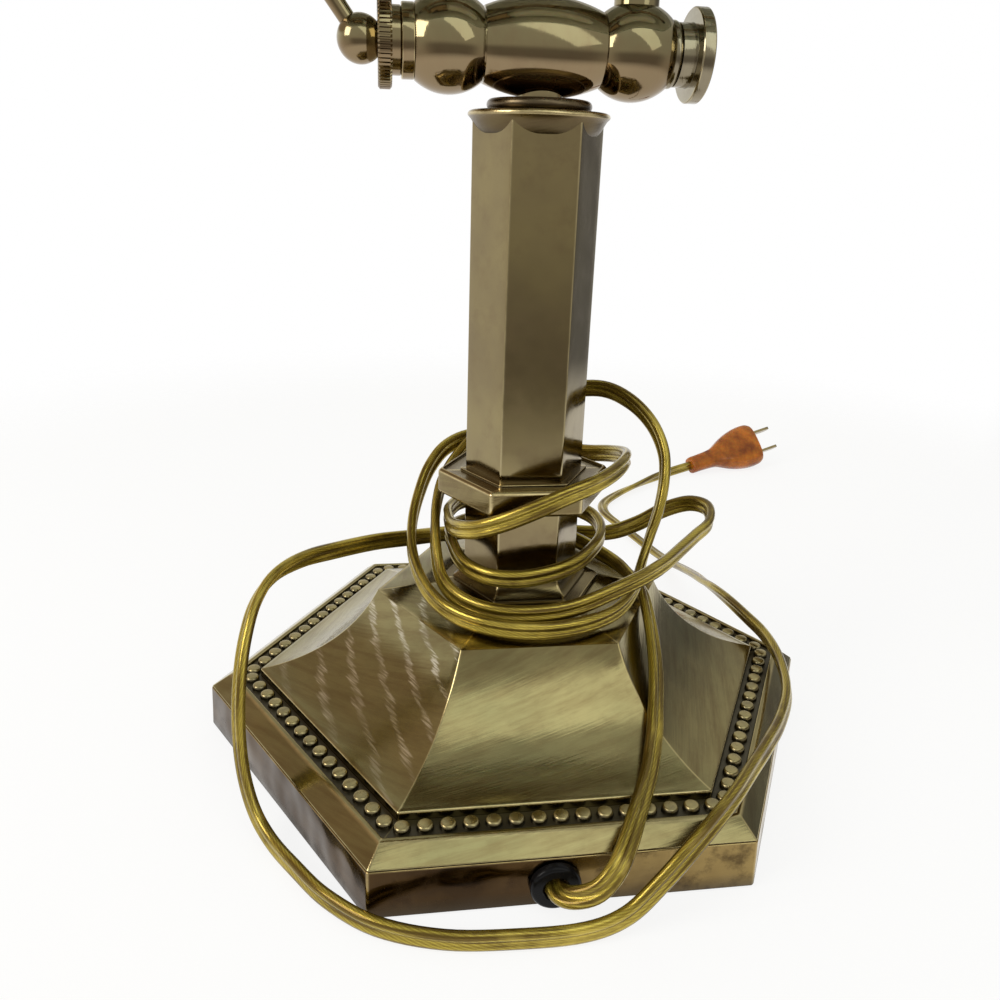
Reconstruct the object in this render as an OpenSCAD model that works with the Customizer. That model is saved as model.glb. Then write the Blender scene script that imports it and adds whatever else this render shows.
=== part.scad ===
// Brass desk lamp of the bankers' kind: a hexagonal beaded base, a hexagonal column, a tilting
// fork with a clamp lever, a green glass shade, and a flat twin cord wound round the neck.
// Millimetres, +Z up, origin in the middle of the underside, the cord outlet faces -Y.

/* [Base] */
// Across the flats of the band at the table
base_flats = 174; // [150:1:210]
// Height of the polished band
band_h = 14.5; // [12.5:0.5:20]
// How far each face of the band leans in towards its top
band_lean = 0.6; // [0:0.1:2]
// Wall of the band
band_wall = 2; // [1.2:0.1:3]
// Run of the sloped lip above the band
lip_run = 5.4; // [3:0.1:8]
// Rise of the sloped lip
lip_rise = 4.2; // [2.5:0.1:6]
// Width of the flat rim inside the lip
rim_w = 1.5; // [0.8:0.1:3]
// Width of the bead channel
channel_w = 6.8; // [5.6:0.1:9]
// Depth of the bead channel below the rim
channel_d = 1.5; // [0.8:0.1:2.2]
// Diameter of a bead
bead_d = 4.6; // [3:0.1:5.2]
// How far the flattened tops of the beads stand above the rim
bead_up = 0.6; // [0.3:0.1:1]
// Beads along each side of the base
beads_per_side = 15; // [9:1:15]
// Thickness of the strip that carries the beads
bead_strip_t = 0.5; // [0.3:0.1:0.9]
// Upright edge at the foot of the dome, above the rim
dome_edge = 1.4; // [0.6:0.1:3]
// Run of the dome from its foot to the crease
dome_run = 33; // [26:1:40]
// Rise of the dome from its foot to the crease
dome_rise = 27; // [20:1:34]
// Radius of the hollow flank of the dome
dome_flare_r = 46; // [44:2:50]
// Rise of the shoulder from the crease to the step
shoulder_rise = 2.4; // [1:0.1:4]
// Sheet thickness of the cover
cover_wall = 1.8; // [1:0.1:2.4]
// Thickness of the felt
felt_t = 2; // [1:0.1:3]
// Thickness of the bottom plate
plate_t = 1.4; // [1:0.1:2]
// How far the felt stands below the band
felt_proud = 0.4; // [0.2:0.1:0.8]
// Diameter of the iron weight
weight_d = 120; // [90:1:130]
// Thickness of the disc of the weight
weight_h = 12; // [8:0.5:13]
// Diameter of the boss of the weight
weight_boss_d = 36; // [33:1:44]

/* [Column] */
// Across the flats of the hexagonal column
column_flats = 31.4; // [27:0.1:34]
// Radius of the column's corners
column_corner_r = 0.9; // [0.6:0.1:4]
// Turn of the column on its foot, in degrees
column_turn = -2; // [-4:0.5:4]
// Wall of the column
column_wall = 2; // [1:0.1:4]
// Length of the column
column_l = 129.5; // [110:0.5:150]
// How far the step stands out beyond the column's faces
step_w = 7; // [4:0.5:9]
// Thickness of the step
step_t = 1.4; // [0.8:0.1:2.5]
// How far the foot of the column flares out
foot_flare = 3.1; // [1.5:0.1:3.8]
// Height of the flared foot
foot_h = 6.5; // [4:0.5:10]
// Height of the underside of the collar above the column's lower end
collar_up = 22.7; // [18:0.1:60]
// How far the collar stands out from the column
collar_w = 7.5; // [4:0.5:10]
// Thickness of the collar
collar_t = 8; // [4:0.5:9]
// Bevel of the collar's edges
collar_bevel = 0.8; // [0.3:0.1:1.5]
// Width of the rim round the collar's top
collar_rim = 1.3; // [0.8:0.1:2]
// Width of the fillet round the column on the collar's top
collar_fillet = 1.6; // [0.8:0.1:2]
// Depth of the recess in the collar's top
collar_recess = 0.8; // [0.3:0.1:1.5]
// Depth of the cap's skirt on the column
cap_skirt = 3.2; // [2.6:0.1:6]
// Thickness of the cap above the column
cap_t = 2; // [1.5:0.1:3]
// How far the cap's rim stands out beyond the column's faces
cap_over = 3.6; // [3.2:0.1:4.5]
// Diameter of the check ring on the cap
check_d = 28.5; // [22:0.5:30]
// Thickness of the check ring
check_t = 3; // [2:0.1:5]
// Diameter of the threaded lamp pipe
pipe_d = 10; // [9:0.5:11]
// Bore of the lamp pipe
pipe_bore = 7.6; // [7.2:0.1:8]
// Across the flats of the pipe's lock nut
nut_flats = 17; // [15:0.5:20]
// Thickness of the lock nut
nut_t = 5; // [4:0.5:7]
// Thickness of the washer above the lock nut
nut_washer_t = 1.4; // [1:0.1:2]

/* [Pivot] */
// Height of the pivot axis above the check ring
pivot_up = 12.5; // [12.5:0.1:18]
// Half length of the barrel on the column
barrel_half = 15.6; // [13:0.1:19]
// Radius of the barrel at its middle
barrel_r = 12.3; // [11:0.1:12.4]
// Radius of the barrel at its ends
barrel_end_r = 9.2; // [8:0.1:10.5]
// Diameter of the boss under the barrel
barrel_boss_d = 12.4; // [11.6:0.1:14]
// Thickness of a friction washer
friction_t = 0.4; // [0.3:0.1:1.5]
// Radius of a friction washer
friction_r = 8; // [6:0.5:8.5]
// Half length of a fork ball
ball_half = 8.8; // [8:0.1:12]
// Radius of a fork ball at its middle
ball_r = 12.2; // [11:0.1:14]
// Radius of a fork ball at its ends
ball_end_r = 9.1; // [8.6:0.1:10.5]
// Diameter of the pivot bolt
bolt_d = 8; // [6:0.5:9]
// Radius of the bead beside the bolt's flange
head_bead_r = 8.4; // [7.5:0.1:9]
// Width of that bead
head_bead_w = 2.8; // [2:0.1:4]
// Length of the neck under the flange
head_neck_l = 3.9; // [3:0.1:6]
// Radius of that neck
head_neck_r = 7.9; // [6:0.1:8.4]
// Radius of the flange
flange_r = 11.8; // [10:0.1:14]
// Thickness of the flange
flange_t = 3.5; // [2:0.1:4.5]

/* [Clamp lever] */
// Radius of the pressure ring
ring_r = 9; // [7.5:0.1:10]
// Width of the pressure ring
ring_w = 3.4; // [2:0.1:5]
// Radius of the neck of the knurled nut
nut_neck_r = 8.2; // [6.5:0.1:9]
// Length of that neck
nut_neck_l = 2.4; // [2:0.1:5]
// Radius of the knurled rim
knurl_r = 11.5; // [10:0.1:14]
// Width of the knurled rim
knurl_w = 3.6; // [3:0.1:6]
// Grooves round the knurled rim
knurl_n = 66; // [40:1:72]
// Depth of a groove
knurl_d = 0.5; // [0.3:0.1:0.8]
// Chamfer of the knurled rim
knurl_chamfer = 0.8; // [0.6:0.1:1.2]
// Radius of the hub ball of the lever
hub_r = 6; // [5:0.1:8]
// Distance of the hub's middle from the nut
hub_out = 4.3; // [3:0.1:4.6]
// Lean of the lever from the upright
lever_lean = 36; // [20:1:50]
// Length of the lever from the hub's middle to the knob's middle
lever_l = 45; // [35:1:55]
// Diameter of the lever arm at the hub
arm_d1 = 4.3; // [3.5:0.1:5.4]
// Diameter of the lever arm at the knob
arm_d2 = 5.4; // [4.4:0.1:6.5]
// Radius of the lever's knob
knob_r = 6.5; // [5:0.1:9]
// Depth that the lever arm enters the hub and the knob
arm_seat = 3; // [2:0.1:3.5]

/* [Fork] */
// Diameter of a post
post_d = 11.9; // [10:0.1:13]
// Wall of a post
post_wall = 1.5; // [1:0.1:2.5]
// Height of the crossbar above the pivot axis
bar_up = 98; // [85:1:120]
// Diameter of the crossbar
bar_d = 12; // [10:0.5:13]
// Bore of the crossbar
bar_bore = 8; // [7:0.5:8.5]
// Radius of a tee at its middle
tee_r = 10; // [9.5:0.1:12]
// Half length of a tee
tee_half = 11; // [9:0.5:13]
// Radius of a tee at its ends
tee_end_r = 8; // [7.2:0.1:9]
// Depth of the tee's collar below the crossbar's middle
tee_drop = 17; // [15:0.5:22]
// Radius of the tee's collar
tee_collar_r = 8; // [7.2:0.1:9]

/* [Lampholder] */
// Distance of the lampholder in front of the crossbar
holder_out = 34; // [32:0.5:36]
// Place of the lampholder's bracket along the crossbar, from the middle
bracket_x = 88; // [80:1:92]
// Width of the bracket's ring on the crossbar
bracket_w = 12; // [9:0.5:14]
// Radius of the bracket's ring
bracket_r = 9; // [8:0.1:10]
// Diameter of the bracket's arm
bracket_arm_d = 9; // [7:0.5:11]
// Radius of the ball at the bracket's end
bracket_ball_r = 7.5; // [6.5:0.1:8.5]
// Length of the lampholder's cap
holder_cap_l = 14; // [11:0.5:16]
// Outer diameter of the lampholder's shell
holder_d = 34; // [32:0.5:36]
// Length of the shell
holder_l = 36; // [33:0.5:40]
// Wall of the shell
holder_wall = 0.8; // [0.5:0.1:1.2]
// Wall of the insulating liner in the shell
liner_wall = 1.6; // [1:0.1:2]
// Diameter of the bulb's screw base
screw_d = 26; // [24:0.5:26.5]
// Length of the bulb's screw base
screw_l = 24; // [22:0.5:26]
// Diameter of the tubular bulb
bulb_d = 30; // [27:0.5:31]
// Length of the bulb's glass
bulb_l = 112; // [90:1:125]
// Glass thickness of the bulb
bulb_wall = 1.2; // [0.8:0.1:2]
// Place of the switch along the shell from the cap
switch_x = 9; // [7:0.5:11]
// Diameter of the switch shaft
switch_d = 4; // [3:0.1:5]
// Length of the switch shaft below the shell
switch_l = 8; // [6:0.5:12]
// Width of the switch key
key_w = 15; // [11:0.5:20]
// Height of the switch key
key_h = 9; // [7:0.5:12]
// Thickness of the switch key
key_t = 3.4; // [2.4:0.1:4.4]

/* [Shade] */
// Half length of the shade at its rim
shade_half = 118; // [112:1:126]
// Half width of the shade at its rim
shade_deep = 66; // [64:1:76]
// Height of the shade
shade_h = 82; // [76:1:95]
// Glass thickness
shade_wall = 3.5; // [2.5:0.1:5]
// Height of the pivot holes above the rim
shade_hang = 28; // [24:1:34]
// How far the ends draw in towards the top
shade_draw = 50; // [40:1:60]
// Radius of the flat pads round the pivot holes
pad_r = 9; // [8:0.5:11]
// Thickness of those pads
pad_t = 6; // [5:0.1:8]
// How far a pad stands out of the glass
pad_proud = 1; // [0.6:0.1:1.6]
// Thickness of a soft washer on a pad
soft_t = 1; // [0.6:0.1:2]
// Radius of a finial's flange
finial_r = 8; // [6.5:0.1:9]
// Thickness of a finial's flange
finial_t = 2.4; // [1.6:0.1:4]
// Radius of a finial's ball
finial_ball_r = 6; // [4.5:0.1:8]
// Length of the finial's shank in the crossbar
finial_grip = 12; // [8:1:20]

/* [Cord and plug] */
// Width of the flat twin cord
cord_w = 5.6; // [5:0.1:6]
// Thickness of the cord
cord_t = 2.9; // [2.6:0.1:3.1]
// Distance of the cord outlet to the side of the middle of the front face
outlet_x = -3.2; // [-12:0.1:6]
// Height of the cord outlet above the table
outlet_z = 7; // [6.8:0.1:8]
// Outer radius of the grommet
grommet_r = 6.6; // [5.5:0.1:6.6]
// How far the grommet stands out of the band
grommet_out = 2.2; // [1.6:0.1:4]
// Radius of the grommet's neck
grommet_neck_r = 4.4; // [4:0.1:4.8]
// Radius of the grommet's hole
grommet_bore_r = 3.4; // [3.2:0.1:3.6]
// Length of the plug's body
plug_l = 50; // [44:1:54]
// Height of the plug's stem
stem_h = 10; // [8:0.5:12]
// Height of the plug's front
plug_h = 27; // [23:0.5:30]
// Thickness of the plug's front
plug_t = 15; // [13:0.5:18]
// Thickness of the plug's stem
stem_t = 8; // [7:0.5:10]
// Distance between the blades
blade_gap = 12.7; // [11:0.1:14]
// Length of a blade
blade_l = 16; // [14:0.5:18]
// Width of a blade
blade_w = 6.3; // [5:0.1:7]
// Thickness of a blade
blade_t = 1.5; // [1.2:0.1:2]

/* [Clearances] */
// Gap between pieces that are fixed into each other
seat_gap = 0.05; // [0.02:0.01:0.1]
// Gap between pieces that turn in each other
run_gap = 0.05; // [0.02:0.01:0.1]

/* [Hidden] */
$fn = 96;

BRASS = "#b08d45";
AGED = "#7d6532";
CORD = "#a5852f";

// Half sizes across the flats, and heights, up the base
band_a = base_flats / 2;
band_top_a = band_a - band_lean;
rim_a = band_top_a - lip_run;
rim_z = band_h + lip_rise;
channel_a = rim_a - rim_w;
channel_z = rim_z - channel_d;
dome_a = channel_a - channel_w;
dome_z = rim_z + dome_edge;
crease_a = dome_a - dome_run;
crease_z = dome_z + dome_rise;
column_a = column_flats / 2;
step_a = column_a + step_w;
shoulder_z = crease_z + shoulder_rise;
plate_z = felt_t;
weight_z = plate_z + plate_t;
bead_a = (channel_a + dome_a) / 2;
bead_pitch = 2 * bead_a * tan(30) / beads_per_side;

// Heights up the column
foot_z = shoulder_z + step_t;
column_z = foot_z + foot_h;
column_top = column_z + column_l;
collar_z = column_z + collar_up;
cap_top = column_top + cap_t;
check_top = cap_top + check_t;
pivot_z = check_top + pivot_up;
pipe_r = pipe_d / 2;
weight_top = shoulder_z - cover_wall;
nut_room_r = nut_flats / 2 / cos(30) + 3;
nut_washer_r = nut_flats / 2 / cos(30) + 1;
nut_ceiling = weight_z + weight_h + nut_t + nut_washer_t;
pipe_bottom = nut_ceiling - nut_washer_t - nut_t - 2;
pipe_top = pivot_z - bolt_d / 2 - 1;
inner_low = nut_ceiling;
inner_top = check_top + 2.4;

// Places along the pivot axis
bolt_r = bolt_d / 2;
ball_in = barrel_half + friction_t;
ball_x = ball_in + ball_half;
ball_out = ball_x + ball_half;
post_r = post_d / 2;
head_neck_x = ball_out + head_bead_w;
flange_x = head_neck_x + head_neck_l;
ring_x = ball_out + ring_w;
knurl_x = ring_x + nut_neck_l;
nut_face = knurl_x + knurl_w;
hub_x = nut_face + hub_out;
bolt_end = nut_face - 1;

// Places in the fork and under the shade
bar_z = pivot_z + bar_up;
bar_r = bar_d / 2;
post_top = bar_z - bar_r - 2;
pad_x = shade_end(shade_hang) + pad_proud;
bar_half = pad_x - pad_t - soft_t;
rim_level = bar_z - shade_hang;
holder_r = holder_d / 2;
holder_x = -bracket_x + bracket_ball_r;
shell_x = holder_x + holder_cap_l;
shell_end = shell_x + holder_l;
liner_r = holder_r - holder_wall - seat_gap;
liner_bore_r = liner_r - liner_wall;
glass_x = shell_end - 1;
screw_x = glass_x - screw_l;
switch_at = shell_x + switch_x;

function unit(v) = v / norm(v);
function last(list) = list[len(list) - 1];

// Outline of the shade: how far it has drawn in at an angle up from the rim
function shade_scale(angle) = sqrt(cos(angle));
function shade_end(height) =
    shade_half - shade_draw * (1 - shade_scale(asin(height / shade_h)));

// A hexagonal prism with its flats facing -Y and +Y
module hex_prism(apothem, height) {
    cylinder(r = apothem / cos(30), h = height, $fn = 6);
}

// Half a profile, drawn up its right side, and its mirror image
function both_sides(half) = concat(half, [for (i = [len(half) - 1:-1:0]) [-half[i][0], half[i][1]]]);

// A hexagonal moulding: the section runs along three pairs of faces and is mitred at the corners
module hex_moulding(half_section) {
    intersection() {
        moulding_run(0, half_section);
        moulding_run(60, half_section);
        moulding_run(120, half_section);
    }
}

module moulding_run(turn, half_section) {
    rotate([0, 0, turn]) rotate([90, 0, 90])
        linear_extrude(height = 4 * base_flats, center = true) polygon(both_sides(half_section));
}

// Section of the column: a hexagon with round corners
module column_section(apothem, corner_r) {
    corner_at = (apothem - corner_r) / cos(30);
    half_flat = corner_at / 2;
    rotate(column_turn) union() {
        polygon([for (k = [0:5], side = [-1, 1])
            [cos(60 * k + 30) * apothem - sin(60 * k + 30) * side * half_flat,
             sin(60 * k + 30) * apothem + cos(60 * k + 30) * side * half_flat]]);
        for (k = [0:5])
            rotate(60 * k) translate([corner_at, 0]) circle(r = corner_r);
    }
}

// A turned piece on the pivot axis, or on a line parallel to it: radius along x, place along y
module turned(height) {
    translate([0, 0, height]) rotate([0, 90, 0]) rotate_extrude() children();
}

// Profile of a turned swelling that is fullest in its middle
module swelling(middle, half, full_r, end_r) {
    sag = full_r - end_r;
    arc_r = (half * half + sag * sag) / (2 * sag);
    intersection() {
        translate([full_r - arc_r, middle]) circle(r = arc_r, $fn = 180);
        translate([0, middle - half]) square([full_r, 2 * half]);
    }
}

// A round rod or hole along X between two places
module rod_x(from, to, radius, height) {
    translate([from, 0, height]) rotate([0, 90, 0]) cylinder(r = radius, h = to - from);
}

// Base

module felt_pad() {
    color("#2f3a2a") hex_prism(band_top_a - band_wall - 0.3, felt_t);
}

module bottom_plate() {
    color("#7a7d80") translate([0, 0, plate_z]) difference() {
        hex_prism(band_top_a - band_wall - seat_gap, plate_t);
        translate([0, 0, -1]) cylinder(r = nut_room_r, h = plate_t + 2);
        translate([outlet_x, 4 - band_top_a + band_wall, outlet_z - plate_z]) rotate([90, 0, 0])
            cylinder(r = grommet_neck_r + 0.3, h = 8);
    }
}

module base_weight() {
    color("#3b3b3d") difference() {
        union() {
            translate([0, 0, weight_z]) cylinder(d = weight_d, h = weight_h);
            translate([0, 0, weight_z]) cylinder(d = weight_boss_d, h = weight_top - weight_z);
        }
        translate([0, 0, weight_z - 1]) cylinder(r = nut_room_r, h = nut_ceiling - weight_z + 1);
        translate([0, 0, weight_z]) cylinder(r = pipe_r + seat_gap, h = weight_top);
        translate([outlet_x - cord_w, -weight_d, weight_z - 1])
            cube([2 * cord_w - outlet_x, weight_d, outlet_z + cord_w - weight_z + 1]);
    }
}

module base_band() {
    color(BRASS) difference() {
        hex_moulding([[band_a, felt_proud], [band_top_a, band_h]]);
        hex_prism(band_top_a - band_wall, 2 * band_h);
        translate([outlet_x, 0, outlet_z]) rotate([90, 0, 0])
            cylinder(r = grommet_neck_r + seat_gap, h = base_flats);
    }
}

// Hollow flank of the dome: the middle of the arc through its foot and its crease
flank_chord = [crease_a - dome_a, crease_z - dome_z];
flank_middle = [dome_a + crease_a, dome_z + crease_z] / 2
    + unit([flank_chord[1], -flank_chord[0]]) * sqrt(dome_flare_r * dome_flare_r - flank_chord * flank_chord / 4);
flank_turn = atan2(crease_z - flank_middle[1], crease_a - flank_middle[0]);
flank_sweep = 2 * asin(norm(flank_chord) / 2 / dome_flare_r);
FLANK_STEPS = 8;

// The dome with its shoulder, as a solid: each face is hollowed by a round cut along it
module dome_form() {
    past = dome_run / 3;
    past_z = crease_z - past * shoulder_rise / (crease_a - step_a);
    difference() {
        hex_moulding([[dome_a, band_h], [dome_a, past_z], [crease_a + past, past_z], [step_a, shoulder_z]]);
        for (side = [0:5])
            rotate([0, 0, 60 * side]) translate([0, flank_middle[0], flank_middle[1]]) rotate([0, 90, 0])
                cylinder(r = dome_flare_r, h = 2 * base_flats, center = true, $fn = 240);
    }
}

// The lip with its rim and the bead channel, as a solid
module lip_form() {
    difference() {
        hex_moulding([[band_top_a, band_h], [rim_a, rim_z]]);
        translate([0, 0, channel_z]) hex_prism(channel_a, lip_rise);
    }
}

// The hollow under the cover, one sheet thickness inside it
module cover_hollow() {
    slope = lip_run / lip_rise;
    hollow_z = channel_z - cover_wall;
    foot_a = band_top_a - slope * cover_wall;
    under = flank_middle - [cover_wall, cover_wall];
    hex_moulding(concat(
        [[foot_a + slope, band_h - 1], [foot_a - slope * (hollow_z - band_h), hollow_z],
         [dome_a - cover_wall, hollow_z]],
        [for (k = [FLANK_STEPS:-1:0]) let(turn = flank_turn + flank_sweep * k / FLANK_STEPS)
            under + dome_flare_r * [cos(turn), sin(turn)]],
        [[step_a - cover_wall, shoulder_z - cover_wall]]));
}

module base_cover() {
    color(BRASS) difference() {
        union() {
            dome_form();
            lip_form();
        }
        cover_hollow();
        cylinder(r = pipe_r + seat_gap, h = 2 * shoulder_z);
    }
}

module bead_border() {
    color("#c9b26a") intersection() {
        union() {
            translate([0, 0, channel_z]) difference() {
                hex_prism(channel_a - seat_gap, bead_strip_t);
                translate([0, 0, -1]) hex_prism(dome_a + seat_gap, bead_strip_t + 2);
            }
            for (side = [0:5], i = [0:beads_per_side - 1])
                rotate([0, 0, 60 * side])
                    translate([(i - (beads_per_side - 1) / 2) * bead_pitch, -bead_a, channel_z + bead_strip_t])
                        sphere(d = bead_d, $fn = 32);
        }
        translate([0, 0, channel_z]) hex_prism(rim_a, channel_d + bead_up);
    }
}

module cord_grommet() {
    neck_end = band_top_a - band_wall;
    color("#16161a") translate([outlet_x, 0, outlet_z]) rotate([90, 0, 0]) rotate_extrude() difference() {
        union() {
            translate([0, neck_end - 1.6]) square([grommet_neck_r, band_a - neck_end + 2]);
            translate([0, band_a]) square([grommet_r, grommet_out / 2]);
            translate([grommet_r - grommet_out / 2, band_a + grommet_out / 2]) circle(r = grommet_out / 2);
            translate([0, band_a]) square([grommet_r - grommet_out / 2, grommet_out]);
        }
        translate([-1, 0]) square([grommet_bore_r + 1, base_flats]);
    }
}

// Column

module column_foot() {
    foot_a = column_a + foot_flare;
    color(AGED) difference() {
        union() {
            translate([0, 0, shoulder_z]) hex_prism(step_a, step_t);
            intersection() {
                foot_run(0, foot_a);
                foot_run(60, foot_a);
                foot_run(120, foot_a);
            }
        }
        cylinder(r = pipe_r + seat_gap, h = column_top);
    }
}

// The foot's section along one pair of faces
module foot_run(turn, foot_a) {
    rotate([0, 0, turn]) rotate([90, 0, 90]) linear_extrude(height = 4 * base_flats, center = true) difference() {
        translate([-foot_a, foot_z]) square([2 * foot_a, foot_h]);
        translate([foot_a, column_z]) foot_hollow();
        mirror([1, 0]) translate([foot_a, column_z]) foot_hollow();
    }
}

// The hollow that is cut from the side of the foot, from its top down to a small square edge
module foot_hollow() {
    drop = foot_h - 1;
    arc_r = (foot_flare * foot_flare + drop * drop) / (2 * foot_flare);
    translate([arc_r - foot_flare, 0]) circle(r = arc_r, $fn = 180);
}

module column_tube() {
    color(BRASS) translate([0, 0, column_z]) linear_extrude(height = column_l) difference() {
        column_section(column_a, column_corner_r);
        column_section(column_a - column_wall, max(column_corner_r - column_wall, 0.3));
    }
}

module column_collar() {
    outer_a = column_a + collar_w;
    recess_z = collar_z + collar_t - collar_recess;
    color(BRASS) difference() {
        hex_moulding([[outer_a - collar_bevel, collar_z], [outer_a, collar_z + collar_bevel],
                      [outer_a, collar_z + collar_t - collar_bevel],
                      [outer_a - collar_bevel, collar_z + collar_t]]);
        translate([0, 0, recess_z]) difference() {
            hex_prism(outer_a - collar_rim, collar_t);
            hex_prism(column_a + collar_fillet, collar_t);
        }
        translate([0, 0, collar_z - 1]) rotate([0, 0, column_turn])
            hex_prism(column_a + seat_gap, collar_t + 2);
    }
}

// A turned cup on the column's end: the column's corners show through it, so it ends in lobes
module column_cap() {
    rim_r = column_a + cap_over;
    skirt_z = column_top - cap_skirt;
    bowl_r = (cap_skirt * cap_skirt + cap_over * cap_over) / (2 * cap_over);
    color(BRASS) difference() {
        rotate_extrude() union() {
            intersection() {
                translate([rim_r - bowl_r, column_top]) circle(r = bowl_r, $fn = 180);
                translate([0, skirt_z]) square([rim_r, cap_skirt]);
            }
            translate([0, column_top]) square([rim_r - cap_t / 2, cap_t]);
            translate([rim_r - cap_t / 2, column_top]) square([cap_t / 2, cap_t / 2]);
            translate([rim_r - cap_t / 2, column_top + cap_t / 2]) circle(r = cap_t / 2);
        }
        translate([0, 0, skirt_z - 1]) rotate([0, 0, column_turn])
            hex_prism(column_a + seat_gap, cap_skirt + 1);
        cylinder(r = pipe_r + seat_gap, h = 2 * column_top);
    }
}

module check_ring() {
    edge = check_t / 2;
    color("#4a3a22") translate([0, 0, cap_top]) rotate_extrude() difference() {
        union() {
            square([check_d / 2 - edge, check_t]);
            translate([check_d / 2 - edge, edge]) circle(r = edge);
        }
        translate([-1, -1]) square([pipe_r + seat_gap + 1, check_t + 2]);
    }
}

module lamp_pipe() {
    color("#8f8a78") translate([0, 0, pipe_bottom]) difference() {
        cylinder(r = pipe_r, h = pipe_top - pipe_bottom);
        translate([0, 0, -1]) cylinder(d = pipe_bore, h = pipe_top - pipe_bottom + 2);
    }
}

module pipe_washer() {
    color("#8d9094") translate([0, 0, nut_ceiling - nut_washer_t]) difference() {
        cylinder(r = nut_washer_r, h = nut_washer_t);
        translate([0, 0, -1]) cylinder(r = pipe_r + seat_gap, h = nut_washer_t + 2);
    }
}

module pipe_lock_nut() {
    color("#9a9da1") translate([0, 0, nut_ceiling - nut_washer_t - nut_t]) difference() {
        hex_prism(nut_flats / 2, nut_t);
        translate([0, 0, -1]) cylinder(r = pipe_r + seat_gap, h = nut_t + 2);
    }
}

// Pivot

module pivot_barrel() {
    color(BRASS) difference() {
        union() {
            turned(pivot_z) swelling(0, barrel_half, barrel_r, barrel_end_r);
            translate([0, 0, check_top]) cylinder(d = barrel_boss_d, h = pivot_up);
        }
        rod_x(-2 * barrel_half, 2 * barrel_half, bolt_r + seat_gap, pivot_z);
        cylinder(r = pipe_r + seat_gap, h = pipe_top + seat_gap);
    }
}

module pivot_bolt() {
    head_end = flange_x + flange_t;
    edge = flange_t / 10;
    color(BRASS) turned(pivot_z) union() {
        translate([0, -bolt_end]) square([bolt_r, bolt_end + head_end]);
        translate([0, ball_out]) square([head_bead_r - head_bead_w / 2, head_bead_w]);
        translate([head_bead_r - head_bead_w / 2, ball_out + head_bead_w / 2]) circle(r = head_bead_w / 2);
        polygon([[0, head_neck_x - head_bead_w / 2], [head_neck_r - edge, head_neck_x - head_bead_w / 2],
                 [head_neck_r, flange_x], [flange_r - edge, flange_x], [flange_r, flange_x + edge],
                 [flange_r, head_end - edge], [flange_r - edge, head_end], [0, head_end]]);
    }
}

module friction_washers() {
    color("#5a5146") for (side = [-1, 1])
        difference() {
            rod_x(side * (barrel_half + friction_t / 2) - friction_t / 2,
                  side * (barrel_half + friction_t / 2) + friction_t / 2, friction_r, pivot_z);
            rod_x(-2 * barrel_half, 2 * barrel_half, bolt_r + seat_gap, pivot_z);
        }
}

module pressure_ring() {
    edge = ring_w / 10;
    color(BRASS) turned(pivot_z)
        polygon([[bolt_r + run_gap, -ring_x], [ring_r - edge, -ring_x], [ring_r, edge - ring_x],
                 [ring_r, -ball_out - edge], [ring_r - edge, -ball_out], [bolt_r + run_gap, -ball_out]]);
}

// Fork

module fork_ball(side) {
    color(BRASS) difference() {
        turned(pivot_z) swelling(side * ball_x, ball_half, ball_r, ball_end_r);
        rod_x(-2 * ball_out, 2 * ball_out, bolt_r + run_gap, pivot_z);
    }
}

module fork_ball_left() {
    fork_ball(-1);
}

module fork_ball_right() {
    fork_ball(1);
}

module fork_post(side) {
    color(BRASS) difference() {
        translate([side * ball_x, 0, pivot_z + bolt_r]) cylinder(r = post_r, h = post_top - pivot_z - bolt_r);
        translate([side * ball_x, 0, pivot_z]) cylinder(r = post_r - post_wall, h = bar_up);
        turned(pivot_z) swelling(side * ball_x, ball_half, ball_r + seat_gap, ball_end_r + seat_gap);
    }
}

module fork_post_left() {
    fork_post(-1);
}

module fork_post_right() {
    fork_post(1);
}

module fork_tee(side) {
    color(BRASS) difference() {
        union() {
            translate([side * ball_x, 0, 0]) turned(bar_z) swelling(0, tee_half, tee_r, tee_end_r);
            translate([side * ball_x, 0, bar_z - tee_drop]) cylinder(r = tee_collar_r, h = tee_drop);
        }
        rod_x(-2 * bar_half, 2 * bar_half, bar_r + seat_gap, bar_z);
        translate([side * ball_x, 0, bar_z - tee_drop - 1])
            cylinder(r = post_r + seat_gap, h = post_top - bar_z + tee_drop + 1);
    }
}

module fork_tee_left() {
    fork_tee(-1);
}

module fork_tee_right() {
    fork_tee(1);
}

module crossbar() {
    color(BRASS) difference() {
        rod_x(-bar_half, bar_half, bar_r, bar_z);
        rod_x(-2 * bar_half, 2 * bar_half, bar_bore / 2, bar_z);
    }
}

// Lampholder

module holder_bracket() {
    color(BRASS) difference() {
        union() {
            rod_x(-bracket_x - bracket_w / 2, -bracket_x + bracket_w / 2, bracket_r, bar_z);
            translate([-bracket_x, 0, bar_z]) rotate([90, 0, 0])
                cylinder(d = bracket_arm_d, h = holder_out);
            translate([-bracket_x, -holder_out, bar_z]) intersection() {
                sphere(r = bracket_ball_r);
                translate([-2 * bracket_ball_r, -bracket_ball_r, -bracket_ball_r])
                    cube([2 * bracket_ball_r + bracket_ball_r * 0.8, 2 * bracket_ball_r, 2 * bracket_ball_r]);
            }
            translate([0, -holder_out, 0]) rod_x(-bracket_x, holder_x, bracket_arm_d / 2, bar_z);
        }
        rod_x(-2 * bar_half, 2 * bar_half, bar_r + seat_gap, bar_z);
    }
}

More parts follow.
